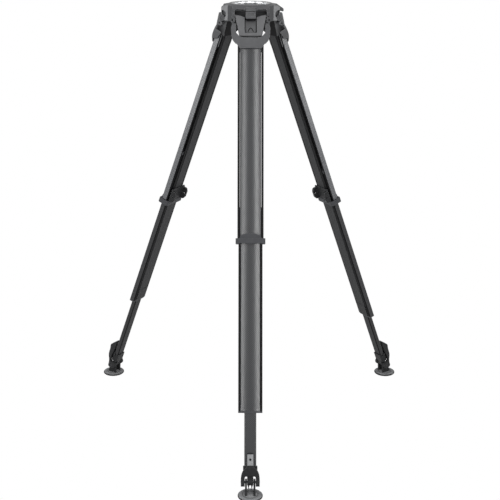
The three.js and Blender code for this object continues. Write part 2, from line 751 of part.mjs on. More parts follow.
function addPiece(parent, name, body, finish) {
  const mesh = new THREE.Mesh(geometryOf(body), finishes[finish]);
  mesh.name = name;
  parent.add(mesh);
}

function placed(parent, y, z, tilt) {
  const group = new THREE.Group();
  group.position.set(0, y, z);
  group.rotation.x = tilt;
  parent.add(group);
  return group;
}

function addLeg(side) {
  const bearing = new THREE.Group();
  bearing.position.z = hipHeight;
  bearing.rotation.z = THREE.MathUtils.degToRad(legAzimuths[side] - quarterTurn);
  stand.add(bearing);
  const hip = placed(bearing, hipRadius, 0, spread);
  const lock = placed(bearing, hipRadius + lockPivotOut, lockPivotUp,
    THREE.MathUtils.degToRad(lockOpenDegrees[side]));
  const ankle = placed(hip, 0, -legLength, 0);
  const foot = placed(hip, 0, -legLength, -spread);
  const midEnd = collarBottom + midOut[side] - midCapFlange - seatGap;
  addPiece(hip, `${side}_hip_block`, hipBlock(), 'casting');
  addPiece(hip, `${side}_hip_pin`, hipPin(), 'steel');
  addPiece(lock, `${side}_spread_lock`, hipLock(), 'casting');
  addPiece(hip, `${side}_brake_lever`, brakeLever(), 'casting');
  addPiece(hip, `${side}_brake_rod`, brakeRod(), 'steel');
  addPiece(hip, `${side}_upper_tube`, upperTube(), 'carbon');
  addPiece(hip, `${side}_collar`, collar(), 'polymer');
  addPiece(hip, `${side}_spreader_bracket`, spreaderBracket(), 'casting');
  addPiece(hip, `${side}_mid_tube`, midTube(midEnd), 'carbon');
  addPiece(hip, `${side}_mid_bush`, midBush(midEnd), 'polymer');
  addPiece(hip, `${side}_mid_end_cap`, midEndCap(midEnd), 'polymer');
  addPiece(hip, `${side}_screw_plate`, screwPlate(midEnd), 'polymer');
  addPiece(hip, `${side}_lower_tube`, lowerTube(), 'carbon');
  addPiece(hip, `${side}_lower_bush`, lowerBush(), 'polymer');
  addPiece(ankle, `${side}_spike_fork`, spikeFork(), 'casting');
  addPiece(ankle, `${side}_ankle_pin`, anklePin(), 'steel');
  addPiece(ankle, `${side}_foot_strap`, footStrap(), 'rubber');
  addPiece(foot, `${side}_foot_pad`, footPad(), 'rubber');
}

const crown = new THREE.Group();
crown.position.z = hipHeight;
stand.add(crown);
addPiece(crown, 'crown_casting', crownCasting(), 'casting');
addPiece(crown, 'bowl_ring', bowlRing(), 'machined');
Object.keys(legAzimuths).forEach(addLeg);

// The frame's origin is on the floor, under the middle of the whole outline
stand.updateMatrixWorld(true);
const outline = new THREE.Box3().setFromObject(stand, true);
const middle = outline.getCenter(new THREE.Vector3());
stand.position.set(-middle.x, -middle.y, -outline.min.z);

export default stand;
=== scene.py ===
"""A tall three-legged camera support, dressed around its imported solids.

Shapes are drawn in millimetres in the frame of the piece that carries them, and placed from the frame's joints.
"""
import json
import math

import bmesh
import bpy
from mathutils import Matrix, Vector


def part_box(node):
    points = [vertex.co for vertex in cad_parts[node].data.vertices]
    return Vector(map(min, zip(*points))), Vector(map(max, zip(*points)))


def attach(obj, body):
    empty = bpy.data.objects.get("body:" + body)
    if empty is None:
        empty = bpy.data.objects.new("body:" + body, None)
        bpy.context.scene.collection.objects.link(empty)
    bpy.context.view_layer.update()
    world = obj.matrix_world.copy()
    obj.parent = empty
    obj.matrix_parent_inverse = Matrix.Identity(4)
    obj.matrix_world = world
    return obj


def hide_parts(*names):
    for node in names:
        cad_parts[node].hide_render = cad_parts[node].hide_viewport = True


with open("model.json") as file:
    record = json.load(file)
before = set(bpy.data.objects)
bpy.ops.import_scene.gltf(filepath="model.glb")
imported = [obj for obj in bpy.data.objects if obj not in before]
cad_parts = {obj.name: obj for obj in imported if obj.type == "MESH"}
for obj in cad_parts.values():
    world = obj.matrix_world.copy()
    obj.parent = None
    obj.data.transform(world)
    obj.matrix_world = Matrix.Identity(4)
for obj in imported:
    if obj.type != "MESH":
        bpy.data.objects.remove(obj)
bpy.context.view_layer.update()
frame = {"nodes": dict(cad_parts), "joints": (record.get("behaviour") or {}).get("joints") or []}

MM = 0.001
SIDES = ("front", "left", "right")
ARC_STEPS = 5
SMOOTH_DEGREES = 24
RUN = 4

# Camera, fitted to the photograph
CAMERA_PLACE = (-0.0173, -3.3101, 1.7400)
CAMERA_PITCH_DEGREES = -18.555
CAMERA_YAW_DEGREES = 0.291
CAMERA_ROLL_DEGREES = 0.165
CAMERA_LENS = 79.0
SENSOR_WIDTH = 36.0
WORLD_FILL = 0.16

# Bowl and crown
RIM_HEIGHT = 43
RIM_RADIUS = 61
RIM_THICKNESS = 9
BALL_RADIUS = 50
BOWL_WALL = 5
BOWL_DEPTH = 34
CROWN_RADIUS = 91
CROWN_SHOULDER = 33
CROWN_BOTTOM = 8
CROWN_CORE = 42
CROWN_BAY = 75
EAR_HALF = 57
EAR_POCKET_DEPTH = 5
EAR_FACING = 0.9
EAR_FACE_BAND = 0.8
HIP_RADIUS = 70
POCKET_HALF = 49
POCKET_RADIUS = 25.6
POCKET_CEILING = 32.5
PIN_BOSS_RADIUS = 10
PIN_BOSS_END = 58.5
HIP_PIN_RADIUS = 5
HIP_PIN_HALF = 54
LOCK_OUT = 13
LOCK_UP = 31
LOCK_HALF = 16.3
TONGUE_HALF = 14.9
LOCK_LUG_RADIUS = 4.6
LOCK_LUG_END = 21.1
LOCK_PIN_RADIUS = 2.4
LOCK_PIN_HALF = 19.8
LOCK_BORE_RADIUS = 2.7
LOCK_BORE_HALF = 20.1
LOCK_ROOM = 8.2

# Hip block
BLOCK_TOP = 13
BLOCK_HALF_TOP = 48
BLOCK_HALF_BOTTOM = 32
BLOCK_LENGTH = 60
BLOCK_FACE = 20.5
BLOCK_DIP = 11
CHANNEL_HALF = 18.5
CHANNEL_FLOOR = 6
CHANNEL_END = 46

# Brake lever
LEVER_OUT = 1.5
LEVER_DOWN = 18
LEVER_HALF = 60
LEVER_BOTTOM = 92
LEVER_DOME = 126
LEVER_CREST = 27.5
LEVER_CREST_DOWN = 57
LEVER_SHELL = 3.2
LEVER_BOSS_RADIUS = 7.7
LEVER_BOSS_INNER = 43.3
LEVER_BOSS_OUTER = 57
LEVER_BORE_RADIUS = 3.3
LEVER_STUD_RADIUS = 3

# Leg stages
UPPER = {"width": 79, "depth": 29, "corner": 5, "plate": 31, "crown": 2.5, "rib": 19, "inner": 9}
MIDDLE = {"width": 72.6, "depth": 22.6, "corner": 4, "plate": 28.5, "crown": 2, "rib": 24, "inner": 4}
PLATE_STEPS = 12
LOWER_WIDTH = 36
LOWER_DEPTH = 15.6
LOWER = {"width": LOWER_WIDTH, "plate": LOWER_WIDTH, "rib": 13}
INNER_FACING = -0.35
LIP_FACING = 0.6
LOWER_CORNER = 3.5
GROOVE_WIDTH = 1.6
GROOVE_DEPTH = 0.6
RIB_RISE = 1.4
COLLAR_WALL = 5.2
COLLAR_HEIGHT = 17

# Foot
PAD_RADIUS = 37.5
PAD_OFFSET = 11
ANKLE_HEIGHT = 42
STRAP_LOBE = 12.5
TAB_START = 54
TAB_FACING = 0.4


# Scratch solids

def link(mesh, name):
    piece = bpy.data.objects.new(name, mesh)
    bpy.context.scene.collection.objects.link(piece)
    return piece


def solid(bm):
    bmesh.ops.recalc_face_normals(bm, faces=bm.faces)
    mesh = bpy.data.meshes.new("solid")
    bm.to_mesh(mesh)
    bm.free()
    return link(mesh, "solid")


def baked(piece):
    """The piece's mesh with its modifiers applied. The piece itself goes."""
    graph = bpy.context.evaluated_depsgraph_get()
    mesh = bpy.data.meshes.new_from_object(piece.evaluated_get(graph))
    bpy.data.objects.remove(piece)
    return mesh


def combined(first, operation, others):
    for other in others:
        modifier = first.modifiers.new("combine", "BOOLEAN")
        modifier.operation = operation
        modifier.solver = "EXACT"
        modifier.object = other
    mesh = baked(first)
    for other in others:
        bpy.data.objects.remove(other)
    return link(mesh, "solid")


def joined(first, *others):
    return combined(first, "UNION", others)


def cut(first, *others):
    return combined(first, "DIFFERENCE", others)


def common(first, *others):
    return combined(first, "INTERSECT", others)


def moved(piece, x=0, y=0, z=0):
    piece.data.transform(Matrix.Translation((x, y, z)))
    return piece


def turned_by(piece, degrees, axis):
    piece.data.transform(Matrix.Rotation(math.radians(degrees), 4, axis))
    return piece


def prism(points, low, high, axis):
    """An outline extruded along an axis. The outline is in (y, z) along X, (x, z) along Y and (x, y) along Z."""
    place = {
        "X": lambda a, b, c: (c, a, b),
        "Y": lambda a, b, c: (a, c, b),
        "Z": lambda a, b, c: (a, b, c),
    }[axis]
    bm = bmesh.new()
    rings = [[bm.verts.new(place(a, b, level)) for a, b in points] for level in (low, high)]
    bm.faces.new(rings[0])
    bm.faces.new(reversed(rings[1]))
    count = len(points)
    for i in range(count):
        j = (i + 1) % count
        bm.faces.new((rings[0][i], rings[0][j], rings[1][j], rings[1][i]))
    return solid(bm)


def block(xs, ys, zs):
    return prism([(xs[0], ys[0]), (xs[1], ys[0]), (xs[1], ys[1]), (xs[0], ys[1])], zs[0], zs[1], "Z")


def circle(radius, a=0, b=0, steps=32):
    turn = 2 * math.pi / steps
    return [(a + radius * math.cos(i * turn), b + radius * math.sin(i * turn)) for i in range(steps)]


def rod(radius, low, high, axis, a=0, b=0, steps=32):
    return prism(circle(radius, a, b, steps), low, high, axis)


def lathe(profile, steps=96):
    """A closed profile of (radius, height) turned about Z. It may touch the axis."""
    bm = bmesh.new()
    columns = []
    for i in range(steps):
        angle = 2 * math.pi * i / steps
        columns.append([
            None if radius == 0 else bm.verts.new((radius * math.cos(angle), radius * math.sin(angle), height))
            for radius, height in profile
        ])
    poles = [bm.verts.new((0, 0, height)) if radius == 0 else None for radius, height in profile]
    count = len(profile)
    for i in range(steps):
        here, there = columns[i], columns[(i + 1) % steps]
        for k in range(count):
            n = (k + 1) % count
            corners = [here[k] or poles[k], here[n] or poles[n], there[n] or poles[n], there[k] or poles[k]]
            unique = [v for m, v in enumerate(corners) if v not in corners[:m]]
            if len(unique) > 2:
                bm.faces.new(unique)
    return solid(bm)


def rounded(points, radius, steps=ARC_STEPS):
    """The outline with its corners turned into arcs. radius is one size, or one for each corner."""
    radii = radius if isinstance(radius, (list, tuple)) else [radius] * len(points)
    made = []
    for i, size in enumerate(radii):
        corner = Vector(points[i])
        before = Vector(points[i - 1]) - corner
        after = Vector(points[(i + 1) % len(points)]) - corner
        opening = before.angle(after)
        if size == 0 or opening > math.pi - 0.02:
            made.append(tuple(corner))
            continue
        reach = min(size / math.tan(opening / 2), 0.49 * before.length, 0.49 * after.length)
        start = corner + before.normalized() * reach
        end = corner + after.normalized() * reach
        for k in range(steps + 1):
            share = k / steps
            made.append(tuple(
                start * (1 - share) ** 2 + corner * 2 * share * (1 - share) + end * share ** 2))
    return made


def mirrored(points):
    return points + [(-a, b) for a, b in reversed(points) if abs(a) > 1e-6]


def smooth_curve(points, steps=6):
    """A smooth line through the points."""
    made = []
    for i in range(len(points) - 1):
        p0 = Vector(points[max(i - 1, 0)])
        p1, p2 = Vector(points[i]), Vector(points[i + 1])
        p3 = Vector(points[min(i + 2, len(points) - 1)])
        for k in range(steps):
            t = k / steps
            made.append(tuple(0.5 * (2 * p1 + (p2 - p0) * t + (2 * p0 - 5 * p1 + 4 * p2 - p3) * t * t
                                     + (3 * p1 - p0 - 3 * p2 + p3) * t ** 3)))
    made.append(tuple(points[-1]))
    return made


def painted(mesh, chosen):
    """Gives the second material to the faces for which chosen(centre in millimetres, direction) is true."""
    for face in mesh.polygons:
        face.material_index = int(chosen(face.center / MM, face.normal))
    return mesh


def finished(piece, name, bevel=0.7, segments=2, angle=32):
    """The final mesh in metres: edges eased, normals weighted towards the flat faces."""
    if bevel:
        ease = piece.modifiers.new("ease", "BEVEL")
        ease.width = bevel
        ease.segments = segments
        ease.limit_method = "ANGLE"
        ease.angle_limit = math.radians(angle)
        ease.use_clamp_overlap = True
    mesh = baked(piece)
    mesh.name = name
    mesh.transform(Matrix.Scale(MM, 4))
    mesh.shade_smooth()
    mesh.set_sharp_from_angle(angle=math.radians(SMOOTH_DEGREES))
    holder = link(mesh, name)
    holder.modifiers.new("weigh", "WEIGHTED_NORMAL").keep_sharp = True
    mesh = baked(holder)
    mesh.name = name
    return mesh


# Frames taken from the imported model

def joint(name):
    return next(j for j in frame["joints"] if j["name"] == name)


def basis(across, out, up, place):
    matrix = Matrix((across, out, up)).transposed().to_4x4()
    matrix.translation = place
    return matrix


def leg_frame(side):
    """X across the leg, Y outward from its face, Z up along it, from the hip's axis."""
    hip = joint(f"{side}_hip")
    across = Vector(hip["axis"]).normalized()
    up = -Vector(joint(f"{side}_mid_slide")["axis"]).normalized()
    return basis(across, up.cross(across), up, Vector(hip["pos_m"]))


def upright_frame(side, place):
    """X across the leg, Y straight away from the stand's middle, Z up."""
    across = Vector(joint(f"{side}_hip")["axis"]).normalized()
    up = Vector((0, 0, 1))
    return basis(across, up.cross(across), up, Vector(place))


def lock_frame(side):
    """The spread lock's frame, turned from its closed place to where it stands at rest."""
    pivot = joint(f"{side}_lock")
    rest = Matrix.Rotation(math.radians(-pivot["range_deg"][0]), 4, "X")
    return upright_frame(side, pivot["pos_m"]) @ rest


LEG = {side: leg_frame(side) for side in SIDES}
ANKLE = {side: Vector(joint(f"{side}_foot_tilt")["pos_m"]) for side in SIDES}


def span(side, node):
    """Lowest and highest place of a node along its leg, in millimetres from the hip."""
    back = LEG[side].inverted()
    heights = [(back @ v.co).z / MM for v in frame["nodes"][f"{side}_{node}"].data.vertices]
    return min(heights), max(heights)


def along(side, height):
    return LEG[side] @ Matrix.Translation((0, 0, height * MM))


def crown_frame():
    low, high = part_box("bowl_ring")
    hip = Vector(joint("front_hip")["pos_m"])
    return Matrix.Translation(((low.x + high.x) / 2, (low.y + high.y) / 2, hip.z))


def place(name, mesh, matrix, body, slot, material, nodes=()):
    piece = link(mesh, name)
    piece.matrix_world = matrix
    if not mesh.materials:
        mesh.materials.append(MATERIALS[material])
        if material in SECOND_MATERIAL:
            mesh.materials.append(MATERIALS[SECOND_MATERIAL[material]])
    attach(piece, body)
    if nodes:
        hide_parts(*nodes)
    return piece


# Materials

class Shader:
    """A node material with a Principled shader, and short calls for the nodes that it needs."""

    def __init__(self, name, colour, roughness, metallic=0.0, specular=0.5):
        self.material = bpy.data.materials.new(name)
        self.material.use_nodes = True
        self.tree = self.material.node_tree
        self.surface = self.tree.nodes["Principled BSDF"]
        self.set("Base Color", (*colour, 1))
        self.set("Roughness", roughness)
        self.set("Metallic", metallic)
        self.set("Specular IOR Level", specular)
        self.place = self.node("ShaderNodeTexCoord").outputs["Object"]

    def set(self, socket, value):
        self.surface.inputs[socket].default_value = value

    def node(self, kind, **settings):
        made = self.tree.nodes.new(kind)
        for key, value in settings.items():
            setattr(made, key, value)
        return made

    def link(self, output, node_input):
        self.tree.links.new(output, node_input)

    def math(self, operation, a, b=0.0):
        made = self.node("ShaderNodeMath", operation=operation)
        for value, socket in ((a, made.inputs[0]), (b, made.inputs[1])):
            if isinstance(value, (int, float)):
                socket.default_value = value
            else:
                self.link(value, socket)
        return made.outputs[0]

    def axes(self):
        made = self.node("ShaderNodeSeparateXYZ")
        self.link(self.place, made.inputs[0])
        return made.outputs

    def noise(self, scale, detail=3.0, roughness=0.5, stretch=None):
        made = self.node("ShaderNodeTexNoise")
        made.inputs["Scale"].default_value = scale
        made.inputs["Detail"].default_value = detail
        made.inputs["Roughness"].default_value = roughness
        source = self.place
        if stretch:
            mapping = self.node("ShaderNodeMapping")
            mapping.inputs["Scale"].default_value = stretch
            self.link(self.place, mapping.inputs["Vector"])
            source = mapping.outputs[0]
        self.link(source, made.inputs["Vector"])
        return made.outputs["Fac"]

    def ranged(self, value, low, high, to_low, to_high):
        made = self.node("ShaderNodeMapRange")
        self.link(value, made.inputs["Value"])
        for socket, amount in zip(("From Min", "From Max", "To Min", "To Max"), (low, high, to_low, to_high)):
            made.inputs[socket].default_value = amount
        return made.outputs[0]

    def mixed(self, factor, low, high):
        made = self.node("ShaderNodeMix", data_type="RGBA")
        if isinstance(factor, (int, float)):
            made.inputs["Factor"].default_value = factor
        else:
            self.link(factor, made.inputs["Factor"])
        for value, socket in ((low, made.inputs[6]), (high, made.inputs[7])):
            if isinstance(value, tuple):
                socket.default_value = (*value, 1)
            else:
                self.link(value, socket)
        return made.outputs[2]

    def colour(self, output):
        self.link(output, self.surface.inputs["Base Color"])

    def roughness(self, output):
        self.link(output, self.surface.inputs["Roughness"])

    def bump(self, height, distance, strength=1.0):
        made = self.node("ShaderNodeBump")
        made.inputs["Strength"].default_value = strength
        made.inputs["Distance"].default_value = distance
        self.link(height, made.inputs["Height"])
        current = self.surface.inputs["Normal"]
        if current.is_linked:
            self.link(current.links[0].from_socket, made.inputs["Normal"])
        self.link(made.outputs["Normal"], current)

    def vector_math(self, operation, a, b):
        made = self.node("ShaderNodeVectorMath", operation=operation)
        self.link(a, made.inputs[0])
        self.link(b, made.inputs[1])
        return made.outputs["Value"]

    def facing(self):
        """The surface's direction in the piece's own frame, as X, Y and Z."""
        made = self.node("ShaderNodeSeparateXYZ")
        self.link(self.tree.nodes["Texture Coordinate"].outputs["Normal"], made.inputs[0])
        return made.outputs

    def worn_edges(self, base, worn, width=0.0007):
        """The base colour with a thin line along its edges rubbed lighter."""
        eased = self.node("ShaderNodeBevel", samples=6)
        eased.inputs["Radius"].default_value = width
        plain = self.node("ShaderNodeNewGeometry").outputs["Normal"]
        likeness = self.vector_math("DOT_PRODUCT", eased.outputs["Normal"], plain)
        broken = self.math("ADD", likeness, self.ranged(self.noise(180), 0, 1, -0.02, 0.02))
        return self.mixed(self.ranged(broken, 0.88, 0.98, 1, 0), base, worn)

    def painted_crevice_shade(self, base, reach, shade_colour):
        """The base colour, darkened as painted shade where the surface lies deep between others."""
        made = self.node("ShaderNodeAmbientOcclusion", samples=8)
        made.inputs["Distance"].default_value = reach
        openness = self.ranged(made.outputs["AO"], 0.15, 0.6, 0, 1)
        return self.mixed(openness, shade_colour, base)


def casting_material(name, dark, light):
    shader = Shader(name, dark, 0.5, metallic=0.0, specular=0.14)
    tone = shader.mixed(shader.noise(60, 4), dark, light)
    worn = shader.worn_edges(tone, (0.24, 0.244, 0.25))
    # Crevices are darkened towards near black as painted shade.
    shader.colour(shader.painted_crevice_shade(worn, 0.025, (0.004, 0.004, 0.0045)))
    shader.roughness(shader.ranged(shader.noise(220), 0.3, 0.7, 0.40, 0.54))
    shader.bump(shader.noise(1500, 2), 0.00012, 0.35)
    return shader.material


# Near black that stands in for shade: painted shade on faces of the hip block and spread lock that lie in shadow.
def painted_shade_black_material():
    shader = Shader("painted_shade_black", (0.004, 0.004, 0.0045), 0.6, specular=0.06)
    shader.colour(shader.mixed(shader.noise(90, 4), (0.003, 0.003, 0.0035), (0.007, 0.007, 0.0075)))
    shader.bump(shader.noise(1500, 2), 0.0001, 0.3)
    return shader.material


def fork_material():
    shader = Shader("fork_coat", (0.016, 0.0165, 0.017), 0.5, specular=0.08)
    tone = shader.mixed(shader.noise(70, 4), (0.012, 0.0125, 0.013), (0.024, 0.0245, 0.0255))
    worn = shader.worn_edges(tone, (0.16, 0.163, 0.168))
    # Crevices are darkened towards near black as painted shade.
    shader.colour(shader.painted_crevice_shade(worn, 0.02, (0.003, 0.003, 0.0035)))
    shader.roughness(shader.ranged(shader.noise(240), 0.3, 0.7, 0.36, 0.5))
    shader.bump(shader.noise(1500, 2), 0.00012, 0.35)
    return shader.material


def machined_material():
    shader = Shader("machined_aluminium", (0.80, 0.81, 0.82), 0.26, metallic=1.0)
    x, y, z = shader.axes()
    radius = shader.math("SQRT", shader.math("ADD", shader.math("MULTIPLY", x, x), shader.math("MULTIPLY", y, y)))
    # Bright metal only in a band of the inner wall under the lip; the inner wall below it is painted dark as shade deep
    # in the bowl, and the outside takes the casting's dark paint.
    shallow = shader.ranged(z, (RIM_HEIGHT - 6) * MM, (RIM_HEIGHT - 4.6) * MM, 0, 1)
    inside = shader.math("LESS_THAN", radius, (BALL_RADIUS + 0.4) * MM)
    band = shader.math("MULTIPLY", shallow, inside)
    shader.colour(shader.mixed(band, (0.055, 0.056, 0.058), (0.80, 0.81, 0.82)))
    lines = shader.math("SINE", shader.math("MULTIPLY", shader.math("ADD", radius, z), 9000))
    shader.roughness(shader.ranged(shader.noise(90), 0.3, 0.7, 0.20, 0.34))
    shader.bump(lines, 0.00002, 0.35)
    return shader.material


def steel_material():
    shader = Shader("turned_steel", (0.58, 0.59, 0.60), 0.3, metallic=1.0)
    shader.roughness(shader.ranged(shader.noise(300), 0.3, 0.7, 0.22, 0.4))
    shader.bump(shader.noise(900, 2), 0.00004, 0.3)
    return shader.material


def blackened_material():
    shader = Shader("blackened_steel", (0.05, 0.05, 0.053), 0.4, metallic=0.8)
    shader.colour(shader.mixed(shader.noise(220, 4), (0.035, 0.035, 0.037), (0.07, 0.07, 0.073)))
    shader.roughness(shader.ranged(shader.noise(300), 0.3, 0.7, 0.32, 0.5))
    return shader.material


def carbon_material(name, stage, side_light_and_shade):
    """Fine twill in clear resin. The third argument gives the two tones of the narrow sides: lighter on the upper stage
    as painted light, darker on the middle and lower stages as painted shade.
    """
    thread = 0.0016
    shader = Shader(name, (0.03, 0.031, 0.033), 0.16, specular=0.38)
    x, y, z = shader.axes()
    across = shader.math("DIVIDE", shader.math("ADD", x, y), thread)
    down = shader.math("DIVIDE", z, thread)
    cell = shader.math("ADD", shader.math("FLOOR", across), shader.math("FLOOR", down))
    over = shader.math("LESS_THAN", shader.math("FLOORED_MODULO", cell, 4), 2)
    wave_across = shader.math("ABSOLUTE", shader.math("SINE", shader.math("MULTIPLY", across, math.pi)))
    wave_down = shader.math("ABSOLUTE", shader.math("SINE", shader.math("MULTIPLY", down, math.pi)))
    bulge = shader.node("ShaderNodeMix", data_type="FLOAT")
    shader.link(over, bulge.inputs["Factor"])
    shader.link(wave_down, bulge.inputs[2])
    shader.link(wave_across, bulge.inputs[3])
    streak = shader.noise(28, 4, 0.6, (1, 1, 0.12))
    light = shader.mixed(streak, (0.030, 0.031, 0.033), (0.046, 0.047, 0.050))
    dark = shader.mixed(streak, (0.010, 0.011, 0.012), (0.018, 0.019, 0.021))
    weave = shader.mixed(over, dark, light)
    # The narrow sides take their own tone: painted light on the upper stage, painted shade on the middle and lower
    # ones.
    sideways = shader.math("ABSOLUTE", x)
    flank = shader.math("GREATER_THAN", sideways, (stage["width"] / 2 - 0.6) * MM)
    painted_side = shader.mixed(over, side_light_and_shade[0], side_light_and_shade[1])
    skin = shader.mixed(flank, weave, painted_side)
    shader.colour(skin)
    shader.roughness(shader.ranged(over, 0, 1, 0.22, 0.15))
    shader.bump(bulge.outputs[0], 0.00004, 0.3)
    return shader.material


def inner_carbon_material(name, stage):
    """The matt inner face of a stage: a dark grey raised strip, and near black beyond it as painted shade."""
    shader = Shader(name, (0.02, 0.021, 0.022), 0.5, specular=0.08)
    x = shader.axes()[0]
    grain = shader.noise(60, 4, 0.6, (1, 1, 0.1))
    strip = shader.mixed(grain, (0.022, 0.0225, 0.0235), (0.036, 0.0365, 0.038))
    shaded_beyond_rib = shader.math("GREATER_THAN", shader.math("ABSOLUTE", x), (stage["rib"] + 0.4) * MM)
    shader.colour(shader.mixed(shaded_beyond_rib, strip, (0.004, 0.004, 0.0045)))
    shader.roughness(shader.ranged(shader.noise(300), 0.3, 0.7, 0.44, 0.6))
    return shader.material


def polymer_material():
    shader = Shader("glass_filled_nylon", (0.034, 0.035, 0.038), 0.6, specular=0.2)
    tone = shader.mixed(shader.noise(90, 4), (0.028, 0.029, 0.032), (0.042, 0.043, 0.047))
    worn = shader.worn_edges(tone, (0.12, 0.123, 0.128))
    # Crevices are darkened towards near black as painted shade.
    shader.colour(shader.painted_crevice_shade(worn, 0.012, (0.003, 0.003, 0.0035)))
    shader.roughness(shader.ranged(shader.noise(400), 0.3, 0.7, 0.48, 0.62))
    shader.bump(shader.noise(1800, 2), 0.00015, 0.5)
    return shader.material


def rubber_material():
    shader = Shader("black_rubber", (0.015, 0.0155, 0.016), 0.72, specular=0.12)
    # Painted light: faces turned upward are pale grey, as light from above; the rest is bare black rubber.
    upward = shader.ranged(shader.facing()[2], 0.85, 0.97, 0, 1)
    painted_top_light = shader.mixed(shader.noise(45, 5, 0.65), (0.14, 0.143, 0.148), (0.30, 0.304, 0.31))
    bare = shader.mixed(shader.noise(45, 5, 0.65), (0.010, 0.0105, 0.011), (0.020, 0.0205, 0.021))
    shader.colour(shader.worn_edges(shader.mixed(upward, bare, painted_top_light), (0.11, 0.112, 0.115)))
    shader.roughness(shader.ranged(shader.noise(300), 0.3, 0.7, 0.62, 0.8))
    shader.bump(shader.noise(1400, 3), 0.0002, 0.5)
    return shader.material


def strap_material(name, dark, light):
    shader = Shader(name, dark, 0.66, specular=0.15)
    shader.colour(shader.mixed(shader.noise(160, 4), dark, light))
    shader.bump(shader.noise(1200, 3), 0.0002, 0.6)
    return shader.material


MATERIALS = {
    "casting": casting_material("powder_coat", (0.084, 0.085, 0.088), (0.108, 0.109, 0.112)),
    "crown": casting_material("crown_coat", (0.042, 0.043, 0.045), (0.062, 0.063, 0.066)),
    "lock": casting_material("lock_coat", (0.050, 0.051, 0.053), (0.074, 0.075, 0.078)),
    "hood": casting_material("hood_coat", (0.062, 0.063, 0.066), (0.082, 0.083, 0.086)),
    # A lighter copy of the crown coat: painted highlight for the ears' outer faces.
    "ear_face_highlight": casting_material("ear_highlight_coat", (0.15, 0.152, 0.156), (0.19, 0.192, 0.196)),
    "painted_shade_black": painted_shade_black_material(),
    "fork": fork_material(),
    "bowl": machined_material(),
    "steel": steel_material(),
    "blackened": blackened_material(),
    "upper": carbon_material("carbon_upper", UPPER, ((0.060, 0.062, 0.066), (0.125, 0.128, 0.135))),
    "upper_inner": inner_carbon_material("carbon_upper_inner", UPPER),
    "middle": carbon_material("carbon_middle", MIDDLE, ((0.008, 0.008, 0.009), (0.030, 0.031, 0.033))),
    "middle_inner": inner_carbon_material("carbon_middle_inner", MIDDLE),
    "lower": carbon_material("carbon_lower", LOWER, ((0.006, 0.006, 0.007), (0.012, 0.012, 0.013))),
    "lower_inner": inner_carbon_material("carbon_lower_inner", LOWER),
    "polymer": polymer_material(),
    "rubber": rubber_material(),
    "strap": strap_material("strap_rubber", (0.012, 0.0125, 0.013), (0.024, 0.0245, 0.0255)),
    "strap_tab": strap_material("tab_rubber", (0.19, 0.193, 0.198), (0.26, 0.263, 0.268)),
}
SECOND_MATERIAL = {
    "upper": "upper_inner", "middle": "middle_inner", "lower": "lower_inner", "strap": "strap_tab",
    "casting": "painted_shade_black", "crown": "ear_face_highlight", "lock": "painted_shade_black",
}


# Crown

def ball_arc(radius, shallow, deep, steps=16):
    depths = [shallow + (deep - shallow) * i / steps for i in range(steps + 1)]
    return [(math.sqrt(radius ** 2 - depth ** 2), RIM_HEIGHT - depth) for depth in depths]


def bowl_ring_mesh():
    inner = ball_arc(BALL_RADIUS, 0.8, BOWL_DEPTH)
    outer = ball_arc(BALL_RADIUS + BOWL_WALL, RIM_THICKNESS, BOWL_DEPTH)
    ease = 1.2
    profile = [
        *outer[::-1],
        (RIM_RADIUS - ease / 2, RIM_HEIGHT - RIM_THICKNESS),
        (RIM_RADIUS, RIM_HEIGHT - RIM_THICKNESS + ease / 2),
        (RIM_RADIUS, RIM_HEIGHT - ease),
        (RIM_RADIUS - ease, RIM_HEIGHT),
        (BALL_RADIUS + ease, RIM_HEIGHT),
        *inner,
    ]
    return finished(lathe(profile, 144), "bowl_ring_mesh", bevel=0)


def around_crown(make):
    """One copy of what make() gives for each leg, turned about the crown's middle."""
    return [turned_by(make(), 120 * number - 180, "Z") for number in range(3)]


def pocket_void():
    """Room for the hip block in the crown's side, open downward and outward."""
    low = -CROWN_BOTTOM - RUN
    front = rounded([
        (-POCKET_HALF, low), (POCKET_HALF, low), (POCKET_HALF, POCKET_CEILING), (-POCKET_HALF, POCKET_CEILING),
    ], [0, 0, 7, 7], 6)
    mouth = prism(front, HIP_RADIUS, CROWN_RADIUS + RUN, "Y")
    barrel = rod(POCKET_RADIUS, -POCKET_HALF, POCKET_HALF, "X", HIP_RADIUS, 0, 64)
    drop = block((-POCKET_HALF, POCKET_HALF), (HIP_RADIUS - POCKET_RADIUS, HIP_RADIUS + 0.5), (low, 0))
    return joined(mouth, barrel, drop)


def lock_void():
    half = LOCK_HALF + 0.3
    room = rod(LOCK_ROOM, -half, half, "X", HIP_RADIUS + LOCK_OUT, LOCK_UP, 32)
    mouth = block((-half, half), (HIP_RADIUS + LOCK_OUT, CROWN_RADIUS + RUN), (-1, RIM_HEIGHT))
    return joined(mouth, room)


def lock_lugs():
    """Two rounded lugs that hang from the pocket's ceiling and hold the spread lock's pin."""
    middle = HIP_RADIUS + LOCK_OUT
    arc = [math.pi * (1 + i / 10) for i in range(11)]
    line = [(middle + LOCK_LUG_RADIUS * math.cos(a), LOCK_UP + LOCK_LUG_RADIUS * math.sin(a)) for a in arc]
    line += [(middle + LOCK_LUG_RADIUS, POCKET_CEILING + 0.4), (middle - LOCK_LUG_RADIUS, POCKET_CEILING + 0.4)]
    first, second = [
        prism(line, *sorted((way * (LOCK_HALF + 0.3), way * LOCK_LUG_END)), "X") for way in (-1, 1)]
    return joined(first, second)


def ear_recess(way):
    """A hollow in an ear's outer face, with a web left standing in it."""
    hollow = rounded([(80, 22), (64, 23), (55.5, 17), (55.5, 5), (60, 0), (66, 8), (80, 8)], [3, 3, 4, 4, 3, 3, 3])
    web = rounded([(75, 24), (71.5, 24), (69, 12), (62, 2), (66, 2), (73, 12)], [1, 1, 3, 1, 1, 3])
    ends = sorted((way * (EAR_HALF - EAR_POCKET_DEPTH), way * (EAR_HALF + RUN)))
    return cut(prism(hollow, *ends, "X"), prism(web, *ends, "X"))


